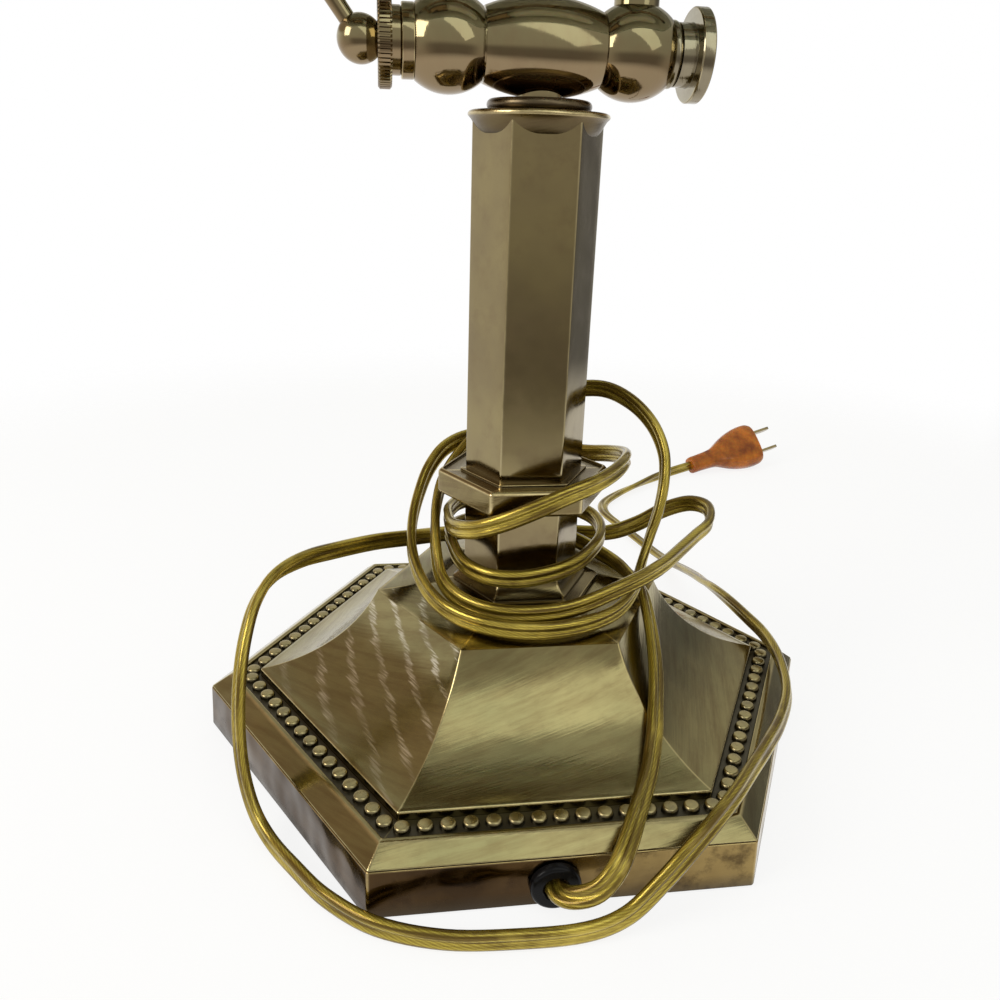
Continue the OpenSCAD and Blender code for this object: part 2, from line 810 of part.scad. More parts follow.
// Profile of the lampholder's bell-shaped cap, or of its inside
module cap_profile(inset) {
    bell = holder_r - bracket_arm_d / 2 - 3;
    intersection() {
        union() {
            translate([holder_r - bell - inset, holder_x + bell + 1]) circle(r = bell);
            translate([0, holder_x + bell + 1]) square([holder_r - inset, holder_cap_l]);
            translate([0, holder_x + 1]) square([holder_r - bell - inset, holder_cap_l]);
        }
        translate([0, holder_x + inset]) square([holder_r, holder_cap_l - inset]);
    }
}

module holder_cap() {
    color(BRASS) translate([0, -holder_out, 0]) turned(bar_z) difference() {
        union() {
            cap_profile(0);
            translate([0, holder_x]) square([bracket_arm_d / 2 + 2, 2]);
        }
        translate([0, 2 * holder_wall]) cap_profile(holder_wall);
    }
}

module holder_shell() {
    color(BRASS) difference() {
        translate([0, -holder_out, 0]) turned(bar_z) difference() {
            union() {
                translate([holder_r - holder_wall, shell_x]) square([holder_wall, holder_l]);
                translate([holder_r - holder_wall, shell_end - 1]) circle(r = 1);
            }
            translate([0, shell_x]) square([holder_r - holder_wall, 2 * holder_l]);
            translate([0, shell_end]) square([2 * holder_r, holder_l]);
        }
        switch_hole(run_gap);
    }
}

module holder_liner() {
    color("#d9d2c0") difference() {
        translate([0, -holder_out, 0]) turned(bar_z) difference() {
            translate([0, shell_x]) square([liner_r, holder_l - 1]);
            translate([0, screw_x - 1]) square([liner_bore_r, holder_l]);
        }
        switch_hole(run_gap);
    }
}

module switch_hole(gap) {
    translate([switch_at, -holder_out, bar_z - holder_r - switch_l])
        cylinder(r = switch_d / 2 + gap, h = switch_l + holder_r / 2);
}

module switch_key() {
    shaft_top = bar_z - holder_r / 2 - run_gap;
    key_z = bar_z - holder_r - switch_l;
    color("#2a1d14") translate([switch_at, -holder_out, 0]) union() {
        translate([0, 0, key_z]) cylinder(d = switch_d, h = shaft_top - key_z);
        translate([0, 0, key_z - key_h / 2]) rotate([90, 0, 0])
            linear_extrude(height = key_t, center = true) union() {
                square([key_w - key_h, key_h], center = true);
                for (side = [-1, 1])
                    translate([side * (key_w - key_h) / 2, 0]) circle(d = key_h);
                translate([-switch_d / 2, 0]) square([switch_d, key_h / 2 + 1]);
            }
    }
}

module bulb_base() {
    wall = 2;
    color("#b9bcc0") translate([0, -holder_out, 0]) turned(bar_z) difference() {
        union() {
            translate([0, screw_x]) square([screw_d / 2 - 4, 2]);
            translate([0, screw_x + 2]) square([screw_d / 2 - 1, screw_l - 2]);
            for (k = [0:4])
                translate([screw_d / 2 - 1, screw_x + 4.5 + 3.6 * k]) circle(r = 1);
        }
        translate([0, screw_x + 2 + wall]) square([screw_d / 2 - 1 - wall, screw_l]);
    }
}

// Profile of the bulb's glass, or of its inside
module bulb_profile(inset) {
    bulb_r = bulb_d / 2 - inset;
    neck_r = screw_d / 2 - 1 - inset;
    shoulder = glass_x + screw_d / 2 - 1;
    union() {
        translate([0, glass_x]) square([neck_r, bulb_l / 2]);
        translate([0, shoulder]) square([bulb_r, bulb_l - bulb_d / 2 - screw_d / 2 + 1]);
        intersection() {
            union() {
                translate([0, glass_x + bulb_l - bulb_d / 2]) circle(r = bulb_r);
                translate([0, shoulder]) circle(r = bulb_r);
            }
            translate([0, glass_x]) square([bulb_r, bulb_l]);
        }
    }
}

module bulb_glass() {
    color("#f4efe0") translate([0, -holder_out, 0]) turned(bar_z) difference() {
        bulb_profile(0);
        bulb_profile(bulb_wall);
    }
}

// Clamp lever

module knurled_nut() {
    step = 360 / knurl_n;
    color(BRASS) difference() {
        union() {
            rod_x(-knurl_x, -ring_x, nut_neck_r, pivot_z);
            intersection() {
                translate([-nut_face, 0, pivot_z]) rotate([90, 0, 90]) linear_extrude(height = knurl_w)
                    polygon([for (i = [0:knurl_n - 1], k = [0:3])
                        (k < 2 ? knurl_r : knurl_r - knurl_d)
                            * [cos(step * (i + [0.1, 0.5, 0.65, 0.95][k])), sin(step * (i + [0.1, 0.5, 0.65, 0.95][k]))]]);
                turned(pivot_z)
                    polygon([[0, -nut_face], [knurl_r - knurl_chamfer, -nut_face],
                             [knurl_r, -nut_face + knurl_chamfer], [knurl_r, -knurl_x - knurl_chamfer],
                             [knurl_r - knurl_chamfer, -knurl_x], [0, -knurl_x]]);
            }
        }
        rod_x(-bolt_end - run_gap, 0, bolt_r + run_gap, pivot_z);
    }
}

module lever_frame() {
    translate([-hub_x, 0, pivot_z]) rotate([0, -lever_lean, 0]) children();
}

module lever_hub() {
    color(BRASS) difference() {
        translate([-hub_x, 0, pivot_z]) sphere(r = hub_r);
        rod_x(-nut_face, 0, 2 * hub_r, pivot_z);
        lever_frame() arm_form(seat_gap);
    }
}

// The tapered arm, or the hole that it fits in
module arm_form(gap) {
    from = hub_r - arm_seat;
    to = lever_l - knob_r + arm_seat;
    translate([0, 0, from])
        cylinder(r1 = arm_d1 / 2 + gap, r2 = arm_d2 / 2 + gap, h = to - from);
}

module lever_arm() {
    color(BRASS) lever_frame() arm_form(0);
}

module lever_knob() {
    color(BRASS) lever_frame() difference() {
        translate([0, 0, lever_l]) sphere(r = knob_r);
        arm_form(seat_gap);
    }
}

// Shade

RINGS_UP = [0, 12, 24, 35, 45, 54, 62, 69, 75, 80, 84, 87];
RING_POINTS = 44;
CORNER_POWER = 0.55;

function rounded(value) = sign(value) * pow(abs(value), CORNER_POWER);
function shade_ring(angle, wall) =
    let(draw = shade_scale(angle), half = shade_half - wall, deep = shade_deep - wall)
    [for (i = [0:RING_POINTS - 1])
        let(turn = 360 * i / RING_POINTS)
        [(half - shade_draw * (1 - draw)) * rounded(cos(turn)), deep * draw * rounded(sin(turn)),
         rim_level + (shade_h - wall) * sin(angle)]];

// One skin of the shade as rings from its rim to its crown
function shade_skin(wall) = [for (angle = RINGS_UP) each shade_ring(angle, wall)];

function band_faces(rings, sides, first, flip) =
    [for (i = [0:rings - 2], j = [0:sides - 1])
        let(a = first + i * sides + j, b = first + i * sides + (j + 1) % sides)
        each flip ? [[a, b, a + sides], [b, b + sides, a + sides]]
                  : [[a, a + sides, b], [b, a + sides, b + sides]]];

module shade_loft() {
    rings = len(RINGS_UP);
    outer = shade_skin(0);
    inner = shade_skin(shade_wall);
    skin = rings * RING_POINTS;
    crown = [[0, 0, last(outer)[2]], [0, 0, last(inner)[2]]];
    top = skin - RING_POINTS;
    polyhedron(points = concat(outer, inner, crown), faces = concat(
        band_faces(rings, RING_POINTS, 0, false),
        band_faces(rings, RING_POINTS, skin, true),
        [for (j = [0:RING_POINTS - 1]) let(k = (j + 1) % RING_POINTS) each [
            [j, k, skin + j], [k, skin + k, skin + j],
            [top + j, 2 * skin, top + k], [skin + top + j, skin + top + k, 2 * skin + 1]]]));
}

module glass_shade() {
    color("#0f5b3a") difference() {
        union() {
            shade_loft();
            for (side = [-1, 1])
                rod_x(min(side * pad_x, side * (pad_x - pad_t)), max(side * pad_x, side * (pad_x - pad_t)),
                      pad_r, bar_z);
        }
        rod_x(-2 * shade_half, 2 * shade_half, bar_bore / 2 + 0.3, bar_z);
    }
}

module shade_washers() {
    color("#33302c") for (side = [-1, 1], place = [pad_x, pad_x - pad_t - soft_t])
        difference() {
            rod_x(min(side * place, side * (place + soft_t)), max(side * place, side * (place + soft_t)),
                  pad_r - 1.5, bar_z);
            rod_x(-2 * shade_half, 2 * shade_half, bar_bore / 2 + 0.2, bar_z);
        }
}

// A turned screw through the shade into the crossbar's end
module finial(side) {
    out = pad_x + soft_t;
    neck_r = finial_ball_r * 0.6;
    color(BRASS) mirror([side < 0 ? 1 : 0, 0, 0]) turned(bar_z) union() {
        translate([0, bar_half - finial_grip]) square([bar_bore / 2 - run_gap, out - bar_half + finial_grip]);
        translate([0, out]) square([finial_r - finial_t / 2, finial_t]);
        translate([finial_r - finial_t / 2, out + finial_t / 2]) circle(r = finial_t / 2);
        translate([0, out]) square([neck_r, finial_t + finial_ball_r]);
        intersection() {
            translate([0, out + finial_t + finial_ball_r * 0.9]) circle(r = finial_ball_r);
            translate([0, out]) square([finial_ball_r, 4 * finial_ball_r]);
        }
    }
}

module finial_left() {
    finial(-1);
}

module finial_right() {
    finial(1);
}

// Cord: each point is x, y, z and the height on the lamp's axis that the flat side faces away from

LEAD_POINTS = [
    [-3.2, -82, 7, -90], [-3.2, -89.6, 7.2, -90], [0, -93.6, 8.6, -85], [5.6, -95.2, 11.6, -75],
    [10.6, -93.2, 16, -65], [14.6, -88, 19.4, -50], [18.3, -81.6, 21.6, -40], [21.8, -75.2, 22.4, -30],
    [24.9, -69.4, 23.8, -20], [27.5, -63.6, 25.7, -12], [29.8, -57.8, 29.2, -5], [31.8, -51.4, 32.3, 0],
    [34, -44.2, 34.4, 3], [35.9, -36.6, 37.4, 6], [37.2, -28.6, 41.2, 10], [37.6, -21, 46, 18],
    [37.3, -13, 50.7, 26], [35.7, -4.8, 51.8, 36], [33, 3, 52.6, 48],
];

// Turns round the neck: angle from the right, distance from the axis, height
WINDING_TURNS = [
    [20, 30, 53.8], [38, 27.5, 55.5], [62, 25, 58], [90, 23.5, 60.5], [118, 22.8, 62.5], [145, 22.8, 64],
    [170, 23, 65], [190, 22.8, 64.5], [205, 23, 62], [220, 23.5, 60.8], [240, 24, 60.4], [262, 24, 61],
    [285, 24, 62.4], [305, 24, 63.6], [323, 24, 64.8], [343, 25, 66], [362, 26, 67], [383, 26.5, 67.5],
    [410, 25.5, 68], [440, 24.2, 69], [470, 23.4, 70.2], [500, 23.2, 71.3], [527, 23.2, 72],
    [545, 23.6, 72.3], [562, 25, 72.8], [578, 26.8, 74.4], [594, 28.6, 77], [610, 28.8, 80.6],
    [628, 29, 85], [644, 29.2, 88.4], [662, 30.2, 91], [680, 30.5, 92.4], [700, 31, 92.8],
    [718, 31.6, 91.5], [738, 31.2, 88.8], [760, 30.8, 86], [785, 31.5, 85.5], [810, 32.5, 87],
    [832, 33.5, 88.6], [850, 34, 86.5], [864, 34.3, 81.5], [876, 34.5, 75], [890, 34.7, 68.5],
    [904, 35, 62.5], [918, 35, 57.5], [933, 35.5, 54], [949, 36.5, 52.2], [966, 37.3, 51.5],
    [983, 37.8, 51.3], [1000, 38, 51.3], [1017, 38.2, 51.6], [1033, 38.4, 52.5], [1048, 38.4, 55],
    [1061, 38.8, 59.5], [1069, 41, 67], [1073, 43.5, 75.5], [1077, 45, 84], [1083, 45.5, 91.5],
    [1091, 43.5, 99], [1101, 39.5, 104.8], [1115, 35.5, 107.6], [1133, 31, 106], [1155, 28, 101],
    [1175, 27.2, 95.5], [1195, 28.4, 89.5], [1212, 28.6, 83.5], [1230, 27.8, 78.5], [1247, 27.2, 74],
    [1262, 27.6, 69], [1276, 28.8, 63.2], [1288, 30.3, 58.3], [1302, 31.8, 55.6], [1318, 33, 54.4],
    [1335, 33.8, 54.3], [1353, 34.2, 54.8], [1370, 35, 56], [1387, 38.2, 59.3], [1402, 42, 61.2],
    [1416, 46, 62], [1428, 51, 63], [1436, 57, 64.5], [1442, 63.5, 66.2], [1450, 67.5, 67.8],
    [1457, 65.5, 67], [1463, 60, 63], [1469, 53.5, 57], [1477, 46, 53],
];

TAIL_POINTS = [
    [24, 31.5, 52, 45], [10, 34, 52, 45], [-7, 33.5, 52.5, 45], [-22, 27, 54.5, 50], [-34, 17.5, 57.5, 54],
    [-46, 9, 60, 56], [-58, 0, 61.5, 56], [-68, -8.5, 62.5, 50], [-75.5, -17, 61.5, 40],
    [-80, -25, 57.5, 30], [-82.5, -32, 50.5, 20], [-84, -38, 41, 15], [-84.5, -43.5, 29, 10],
    [-83.5, -48, 17, 6], [-80.5, -53.5, 8, 3.2], [-75.5, -61, 3.8, 3], [-68.5, -71, 3.2, 3],
    [-60, -82, 3.2, 3], [-48, -91.8, 3.2, 3], [-32, -97.6, 3.2, 3], [-14, -99.4, 3.2, 3],
    [2, -99.2, 3.2, 3], [12.6, -98, 6, 3], [21, -96, 13, 3], [29, -93, 20, 3], [37.5, -87, 23.5, 3],
    [46, -79, 24.5, 3], [54, -70, 24.5, 3], [62.5, -60.5, 24.5, 3], [71, -50, 24, 3], [79, -37.5, 24, 3],
    [84, -25, 24, 3], [87, -12, 24.5, 3], [88, 1, 24.5, 3], [87, 12, 24.5, 0], [85.5, 25, 24.5, -10],
    [85, 38, 23, -40], [86, 52, 19.5, -100], [88, 68, 15, -200], [89.5, 86, 9.5, -300],
    [89.5, 104, 4.5, -400], [87.5, 121, 2.3, -400], [83.5, 140, 2.1, -400], [79, 158, 2.1, -400],
    [76.5, 173, 2.1, -400], [79.5, 186, 2.1, -400], [89.5, 198.5, 2.3, -300], [103, 210, 2.9, -150],
    [117.5, 221.5, 3.4, -50], [132.5, 231.8, 3.9, 0], [147.6, 239, 5.2, 5.3],
];

// The lead inside the base and the pipe: x, y and z
INNER_POINTS = concat(
    [[-3.2, -82, 7], [-3.2, -68, 7], [-2.4, -48, 7], [-1, -28, 7], [0, -14, 7.6], [0, -6, 9.8], [0, -1.5, 14.5]],
    [for (k = [0:5]) [0, 0, inner_low + (inner_top - inner_low) * k / 5]]);
INNER_FACING = [0, -1, 1];

WINDING_POINTS = [for (t = WINDING_TURNS) [t[1] * cos(t[0]), t[1] * sin(t[0]), t[2], t[2]]];
ROUTE = concat(LEAD_POINTS, WINDING_POINTS, TAIL_POINTS);
STEPS = 2;

// A smooth curve through the points, with STEPS places to each of them
function curve_at(p, i, t) =
    let(a = p[max(i - 1, 0)], b = p[i], c = p[i + 1], d = p[min(i + 2, len(p) - 1)])
    (2 * b + (c - a) * t + (2 * a - 5 * b + 4 * c - d) * t * t + (3 * b - a - 3 * c + d) * t * t * t) / 2;
function curve(p, steps) = concat(
    [for (i = [0:len(p) - 2], k = [0:steps - 1]) curve_at(p, i, k / steps)], [last(p)]);
function place(p) = [p[0], p[1], p[2]];
function faced(p) = [p[0], p[1], p[2] - p[3]];

// The twin section: two round lobes side by side, width first and thickness second
LOBE_TURNS = [-135, -81, -27, 27, 81, 135];
SECTION = [for (side = [1, -1], turn = LOBE_TURNS)
    side * [(cord_w - cord_t) / 2 + cord_t / 2 * cos(turn), cord_t / 2 * sin(turn)]];
SIDES = len(SECTION);

// The section set across the curve at one place, with its thin side along the facing
function section_at(spot, along, facing) =
    let(thin = unit(facing - along * (facing * along)), wide = cross(along, thin))
    [for (s = SECTION) spot + wide * s[0] + thin * s[1]];
function direction(spots, i) = unit(spots[min(i + 1, len(spots) - 1)] - spots[max(i - 1, 0)]);
function sections(spots, facings, picks) =
    [for (i = picks) section_at(spots[i], direction(spots, i), facings[i])];

route_curve = curve(ROUTE, STEPS);
route_spots = [for (p = route_curve) place(p)];
route_facing = [for (p = route_curve) faced(p)];
lead_end = len(LEAD_POINTS) * STEPS;
winding_end = (len(LEAD_POINTS) + len(WINDING_POINTS)) * STEPS;
route_end = len(route_spots) - 1;
winding_sections = sections(route_spots, route_facing, [lead_end:winding_end]);

// A cord swept through its sections, closed at both ends
module cord(rings) {
    n = len(rings);
    ends = [average(rings[0]), average(last(rings))];
    polyhedron(points = concat([for (r = rings) each r], ends), faces = concat(
        band_faces(n, SIDES, 0, true),
        [for (j = [0:SIDES - 1]) let(k = (j + 1) % SIDES) each [
            [j, n * SIDES, k], [(n - 1) * SIDES + j, (n - 1) * SIDES + k, n * SIDES + 1]]]));
}

function average(points, i = 0) = i == len(points) - 1 ? points[i] / len(points)
    : points[i] / len(points) + average(points, i + 1);

// Least gap of the winding to itself, between the points of turns that pass near each other
NEAR = 9;
APART = 12;
function least_gap(rings) = min([for (i = [0:len(rings) - 1 - APART], j = [i + APART:len(rings) - 1])
    if (norm(average(rings[i]) - average(rings[j])) < NEAR)
        min([for (a = rings[i], b = rings[j]) norm(a - b)])]);
echo(least_gap_of_winding = least_gap(winding_sections));

module inner_lead() {
    spots = INNER_POINTS;
    color(CORD) cord(sections(spots, [for (p = spots) INNER_FACING], [len(spots) - 1:-1:0]));
}

module cord_lead() {
    color(CORD) cord(sections(route_spots, route_facing, [0:STEPS:lead_end]));
}

module cord_winding() {
    color(CORD) cord(winding_sections);
}

module cord_tail() {
    color(CORD) cord(sections(route_spots, route_facing, [winding_end:STEPS:route_end]));
}

// Plug: it lies rolled over on the lower lobe of its grip, which lifts its front off the table
plug_turn = 19.4;
plug_roll = 37.3;
plug_reach = norm([plug_h / 2 * cos(plug_roll), plug_t / 2 * sin(plug_roll)]);
plug_rise = asin((plug_reach + 0.4 - last(TAIL_POINTS)[2]) / (0.82 * plug_l));

module plug_frame() {
    translate(place(last(TAIL_POINTS))) rotate([0, 0, plug_turn]) rotate([0, -plug_rise, 0])
        rotate([-plug_roll, 0, 0]) children();
}

// Its form: place along the plug, and how far it has grown from the stem to the full grip
PLUG_FORM = [
    [0, -0.12], [0.02, 0], [0.14, 0.02], [0.28, 0.06], [0.37, 0.14], [0.46, 0.36], [0.56, 0.62], [0.68, 0.84],
    [0.8, 0.97], [0.9, 1], [0.96, 0.97], [1, 0.86],
];
PLUG_SIDES = 32;
PLUG_POWER = 0.72;
function squarish(value) = sign(value) * pow(abs(value), PLUG_POWER);
function plug_ring(form) =
    let(half_h = (stem_h + (plug_h - stem_h) * form[1]) / 2, half_t = (stem_t + (plug_t - stem_t) * form[1]) / 2)
    [for (i = [0:PLUG_SIDES - 1])
        let(turn = 360 * i / PLUG_SIDES)
        [plug_l * form[0], half_t * squarish(cos(turn)), half_h * squarish(sin(turn))]];

module plug_body() {
    rings = [for (form = PLUG_FORM) plug_ring(form)];
    n = len(rings);
    color("#b5651d") plug_frame() difference() {
        polyhedron(points = concat([for (r = rings) each r], [average(rings[0]), average(last(rings))]),
            faces = concat(
                band_faces(n, PLUG_SIDES, 0, false),
                [for (j = [0:PLUG_SIDES - 1]) let(k = (j + 1) % PLUG_SIDES) each [
                    [j, k, n * PLUG_SIDES],
                    [(n - 1) * PLUG_SIDES + j, n * PLUG_SIDES + 1, (n - 1) * PLUG_SIDES + k]]]));
        for (side = [-1, 1])
            translate([plug_l - blade_l / 2, 0, side * blade_gap / 2])
                cube([blade_l, blade_w + 2 * seat_gap, blade_t + 2 * seat_gap], center = true);
    }
}

module plug_blades() {
    tip = blade_w / 2;
    color("#c8b27a") plug_frame() for (side = [-1, 1])
        translate([plug_l - blade_l + seat_gap + blade_l / 2, 0, side * blade_gap / 2])
            linear_extrude(height = blade_t, center = true) union() {
                translate([0, -blade_w / 2]) square([blade_l * 1.5 - tip, blade_w]);
                translate([blade_l * 1.5 - tip, 0]) circle(r = tip);
            }
}

felt_pad();
bottom_plate();
base_weight();
base_band();
base_cover();
bead_border();
cord_grommet();
column_foot();
column_tube();
column_collar();
column_cap();
check_ring();
lamp_pipe();
pipe_washer();
pipe_lock_nut();
pivot_barrel();
pivot_bolt();
friction_washers();
pressure_ring();
fork_ball_left();
fork_ball_right();
fork_post_left();
fork_post_right();
fork_tee_left();
fork_tee_right();
crossbar();
holder_bracket();
holder_cap();
holder_shell();
holder_liner();
bulb_base();
bulb_glass();
knurled_nut();
lever_hub();
lever_arm();
lever_knob();
switch_key();
glass_shade();
shade_washers();
finial_left();
finial_right();
inner_lead();
cord_lead();
cord_winding();
cord_tail();
plug_body();
plug_blades();
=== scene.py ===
import math

import bpy
from mathutils import Matrix, Vector


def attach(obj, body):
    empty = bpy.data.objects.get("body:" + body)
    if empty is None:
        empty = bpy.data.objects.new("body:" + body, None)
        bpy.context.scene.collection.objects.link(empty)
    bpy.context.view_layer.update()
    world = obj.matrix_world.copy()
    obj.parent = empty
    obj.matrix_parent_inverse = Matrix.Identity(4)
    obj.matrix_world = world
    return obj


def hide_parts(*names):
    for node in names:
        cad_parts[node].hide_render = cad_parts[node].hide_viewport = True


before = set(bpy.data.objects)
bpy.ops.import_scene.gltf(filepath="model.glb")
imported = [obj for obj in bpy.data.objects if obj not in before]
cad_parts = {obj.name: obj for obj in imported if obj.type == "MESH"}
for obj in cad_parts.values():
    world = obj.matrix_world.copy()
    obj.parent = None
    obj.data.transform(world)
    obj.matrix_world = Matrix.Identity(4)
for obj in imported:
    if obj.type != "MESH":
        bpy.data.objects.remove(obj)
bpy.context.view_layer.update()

# Camera: held by hand in front of the lamp and a little to its left, close to it, looking down at the
# base, so the pivot is at the top of the picture and the shade is above it.
CAMERA_AT = (-0.04603, -0.25463, 0.17506)
CAMERA_TURN, CAMERA_DIP, CAMERA_ROLL = -0.15154, 0.36357, 0.03335
scene = bpy.context.scene
scene.view_settings.view_transform = "Standard"
camera = bpy.data.objects.new("camera", bpy.data.cameras.new("camera"))
scene.collection.objects.link(camera)
scene.camera = camera
camera.data.sensor_width = 36
camera.data.lens = 31.591
camera.data.clip_start = 0.01
camera.matrix_world = (
    Matrix.Translation(CAMERA_AT)
    @ Matrix.Rotation(CAMERA_TURN, 4, "Z")
    @ Matrix.Rotation(math.pi / 2 - CAMERA_DIP, 4, "X")
    @ Matrix.Rotation(CAMERA_ROLL, 4, "Z")
)

# Studio: a soft window light in front on the left and a long soft light above in front, a pale floor that
# fades out at its edge, a white backdrop behind and on the left, and a dimmer room elsewhere. Metal sees
# what the camera sees.


def add(tree, kind, inputs=None, **settings):
    made = tree.nodes.new("ShaderNode" + kind)
    for key, value in settings.items():
        setattr(made, key, value)
    for key, value in (inputs or {}).items():
        if isinstance(value, bpy.types.NodeSocket):
            tree.links.new(value, made.inputs[key])
        else:
            made.inputs[key].default_value = value
    return made


def math_node(tree, operation, a, b):
    return add(tree, "Math", {0: a, 1: b}, operation=operation).outputs[0]


def soft_step(tree, value, low, high):
    return add(tree, "MapRange", {0: value, 1: low, 2: high}, interpolation_type="SMOOTHSTEP").outputs[0]


def facing_mask(tree, way, aim, low, high):
    inputs = {0: way, 1: Vector(aim).normalized()}
    share = add(tree, "VectorMath", inputs, operation="DOT_PRODUCT").outputs["Value"]
    return soft_step(tree, share, low, high)


def blend_colours(tree, factor, a, b):
    return add(tree, "Mix", {0: factor, 6: a, 7: b}, data_type="RGBA").outputs[2]


world = bpy.data.worlds.new("studio")
scene.world = world
world.use_nodes = True
tree = world.node_tree
tree.nodes.clear()
way = add(tree, "TexCoord").outputs["Generated"]
up = add(tree, "SeparateXYZ", {0: way}).outputs["Z"]
above = soft_step(tree, up, 0.4, 0.9)
room = blend_colours(tree, above, (0.55, 0.53, 0.48, 1), (0.6, 0.62, 0.58, 1))
warm_wall = facing_mask(tree, way, (-0.85, 0.3, 0.42), 0.6, 0.9)
room = blend_colours(tree, warm_wall, room, (0.42, 0.33, 0.25, 1))
near = facing_mask(tree, way, (0.1, -1, 0), 0.3, 0.8)
near = math_node(tree, "MULTIPLY", near, soft_step(tree, up, 0.03, -0.2))
room = blend_colours(tree, near, room, (0.27, 0.25, 0.225, 1))
dark_side = facing_mask(tree, way, (0.8, 0.6, 0.1), 0.6, 0.97)
dark_side = math_node(tree, "MULTIPLY", dark_side, soft_step(tree, up, 0.6, 0.2))
room = blend_colours(tree, dark_side, room, (0.19, 0.19, 0.195, 1))
backdrop = facing_mask(tree, way, (-0.75, 0.65, 0.1), -0.16, 0.03)
backdrop = math_node(tree, "MULTIPLY", backdrop, soft_step(tree, up, 0.36, 0.2))
backdrop = math_node(tree, "MULTIPLY", backdrop, facing_mask(tree, way, (0.05, 1, 0), -0.6, 0.76))
room = blend_colours(tree, backdrop, room, (1, 1, 1, 1))
add(tree, "OutputWorld", {0: add(tree, "Background", {"Color": room, "Strength": 1}).outputs[0]})


def mesh_object(name, vertices, faces, crease=38):
    mesh = bpy.data.meshes.new(name)
    mesh.from_pydata([Vector(v) / 1000 for v in vertices], [], faces)
    mesh.update()
    mesh.shade_smooth()
    mesh.set_sharp_from_angle(angle=math.radians(crease))
    made = bpy.data.objects.new(name, mesh)
    scene.collection.objects.link(made)
    return made


FLOOR_RADIUS, FLOOR_SIDES = 602, 96
turns = [2 * math.pi * k / FLOOR_SIDES for k in range(FLOOR_SIDES)]
floor = mesh_object("floor", [(FLOOR_RADIUS * math.cos(t), FLOOR_RADIUS * math.sin(t), 0) for t in turns],
                    [tuple(range(FLOOR_SIDES))])
floor.location = (0.02, 0.1, 0)
floor_material = bpy.data.materials.new("floor")
floor_material.use_nodes = True
tree = floor_material.node_tree
tree.nodes.clear()
path = add(tree, "LightPath").outputs
seen = math_node(tree, "MAXIMUM", path["Is Camera Ray"], path["Is Glossy Ray"])
seen = math_node(tree, "MAXIMUM", seen, path["Is Transmission Ray"])
paper = add(tree, "BsdfDiffuse", {"Color": (0.95, 0.95, 0.95, 1)}).outputs[0]
glow = add(tree, "Emission", {"Color": (1, 1, 1, 1), "Strength": 1.05}).outputs[0]
pale = add(tree, "MixShader", {0: math_node(tree, "MULTIPLY", seen, 0.8), 1: paper, 2: glow}).outputs[0]
place = add(tree, "TexCoord").outputs["Object"]
reach = add(tree, "VectorMath", {0: place}, operation="LENGTH").outputs["Value"]
nothing = add(tree, "BsdfTransparent").outputs[0]
fading = add(tree, "MixShader", {0: soft_step(tree, reach, 0.31, 0.56), 1: pale, 2: nothing})
add(tree, "OutputMaterial", {0: fading.outputs[0]})
floor.data.materials.append(floor_material)


def area_light(name, at, aim, width, height, power, colour, roll=0):
    light = bpy.data.lights.new(name, "AREA")
    light.shape = "RECTANGLE"
    light.size, light.size_y, light.energy, light.color = width, height, power, colour
    made = bpy.data.objects.new(name, light)
    scene.collection.objects.link(made)
    at = Vector(at)
    facing = (at - Vector(aim)).to_track_quat("Z", "Y").to_matrix().to_4x4()
    made.matrix_world = Matrix.Translation(at) @ facing @ Matrix.Rotation(roll, 4, "Z")


area_light("window", (-0.82, -0.32, 0.55), (0, 0, 0.1), width=0.45, height=0.5, power=3.2,
           colour=(1, 0.97, 0.92))
area_light("above", (0.28, -0.58, 0.6), (0, 0, 0.03), width=0.4, height=0.95, power=1.05,
           colour=(0.95, 1, 0.95), roll=0.6)

# Cord: flat twin flex in clear gold plastic over copper strands, one length from the outlet up the base,
# round the neck in loose turns and loops, over the base and along the table to the plug.
CORD_WIDTH, CORD_THICK, CORD_STEPS = 5.6, 2.9, 6

# A point is x, y, z and the height on the axis of the lamp that its flat side looks at
ON_BASE = [
    (-3.2, -82, 7, -90), (-3.2, -89.6, 7.2, -90), (0, -93.6, 8.6, -85), (5.6, -95.2, 11.6, -75),
    (10.6, -93.2, 16, -65), (14.6, -88, 19.4, -50), (18.3, -81.6, 21.6, -40), (21.8, -75.2, 22.4, -30),
    (24.9, -69.4, 23.8, -20), (27.5, -63.6, 25.7, -12), (29.8, -57.8, 29.2, -5), (31.8, -51.4, 32.3, 0),
    (34, -44.2, 34.4, 3), (35.9, -36.6, 37.4, 6), (37.2, -28.6, 41.2, 10), (37.6, -21, 46, 18),
    (37.3, -13, 50.7, 26), (35.7, -4.8, 51.8, 36), (33, 3, 52.6, 48),
]
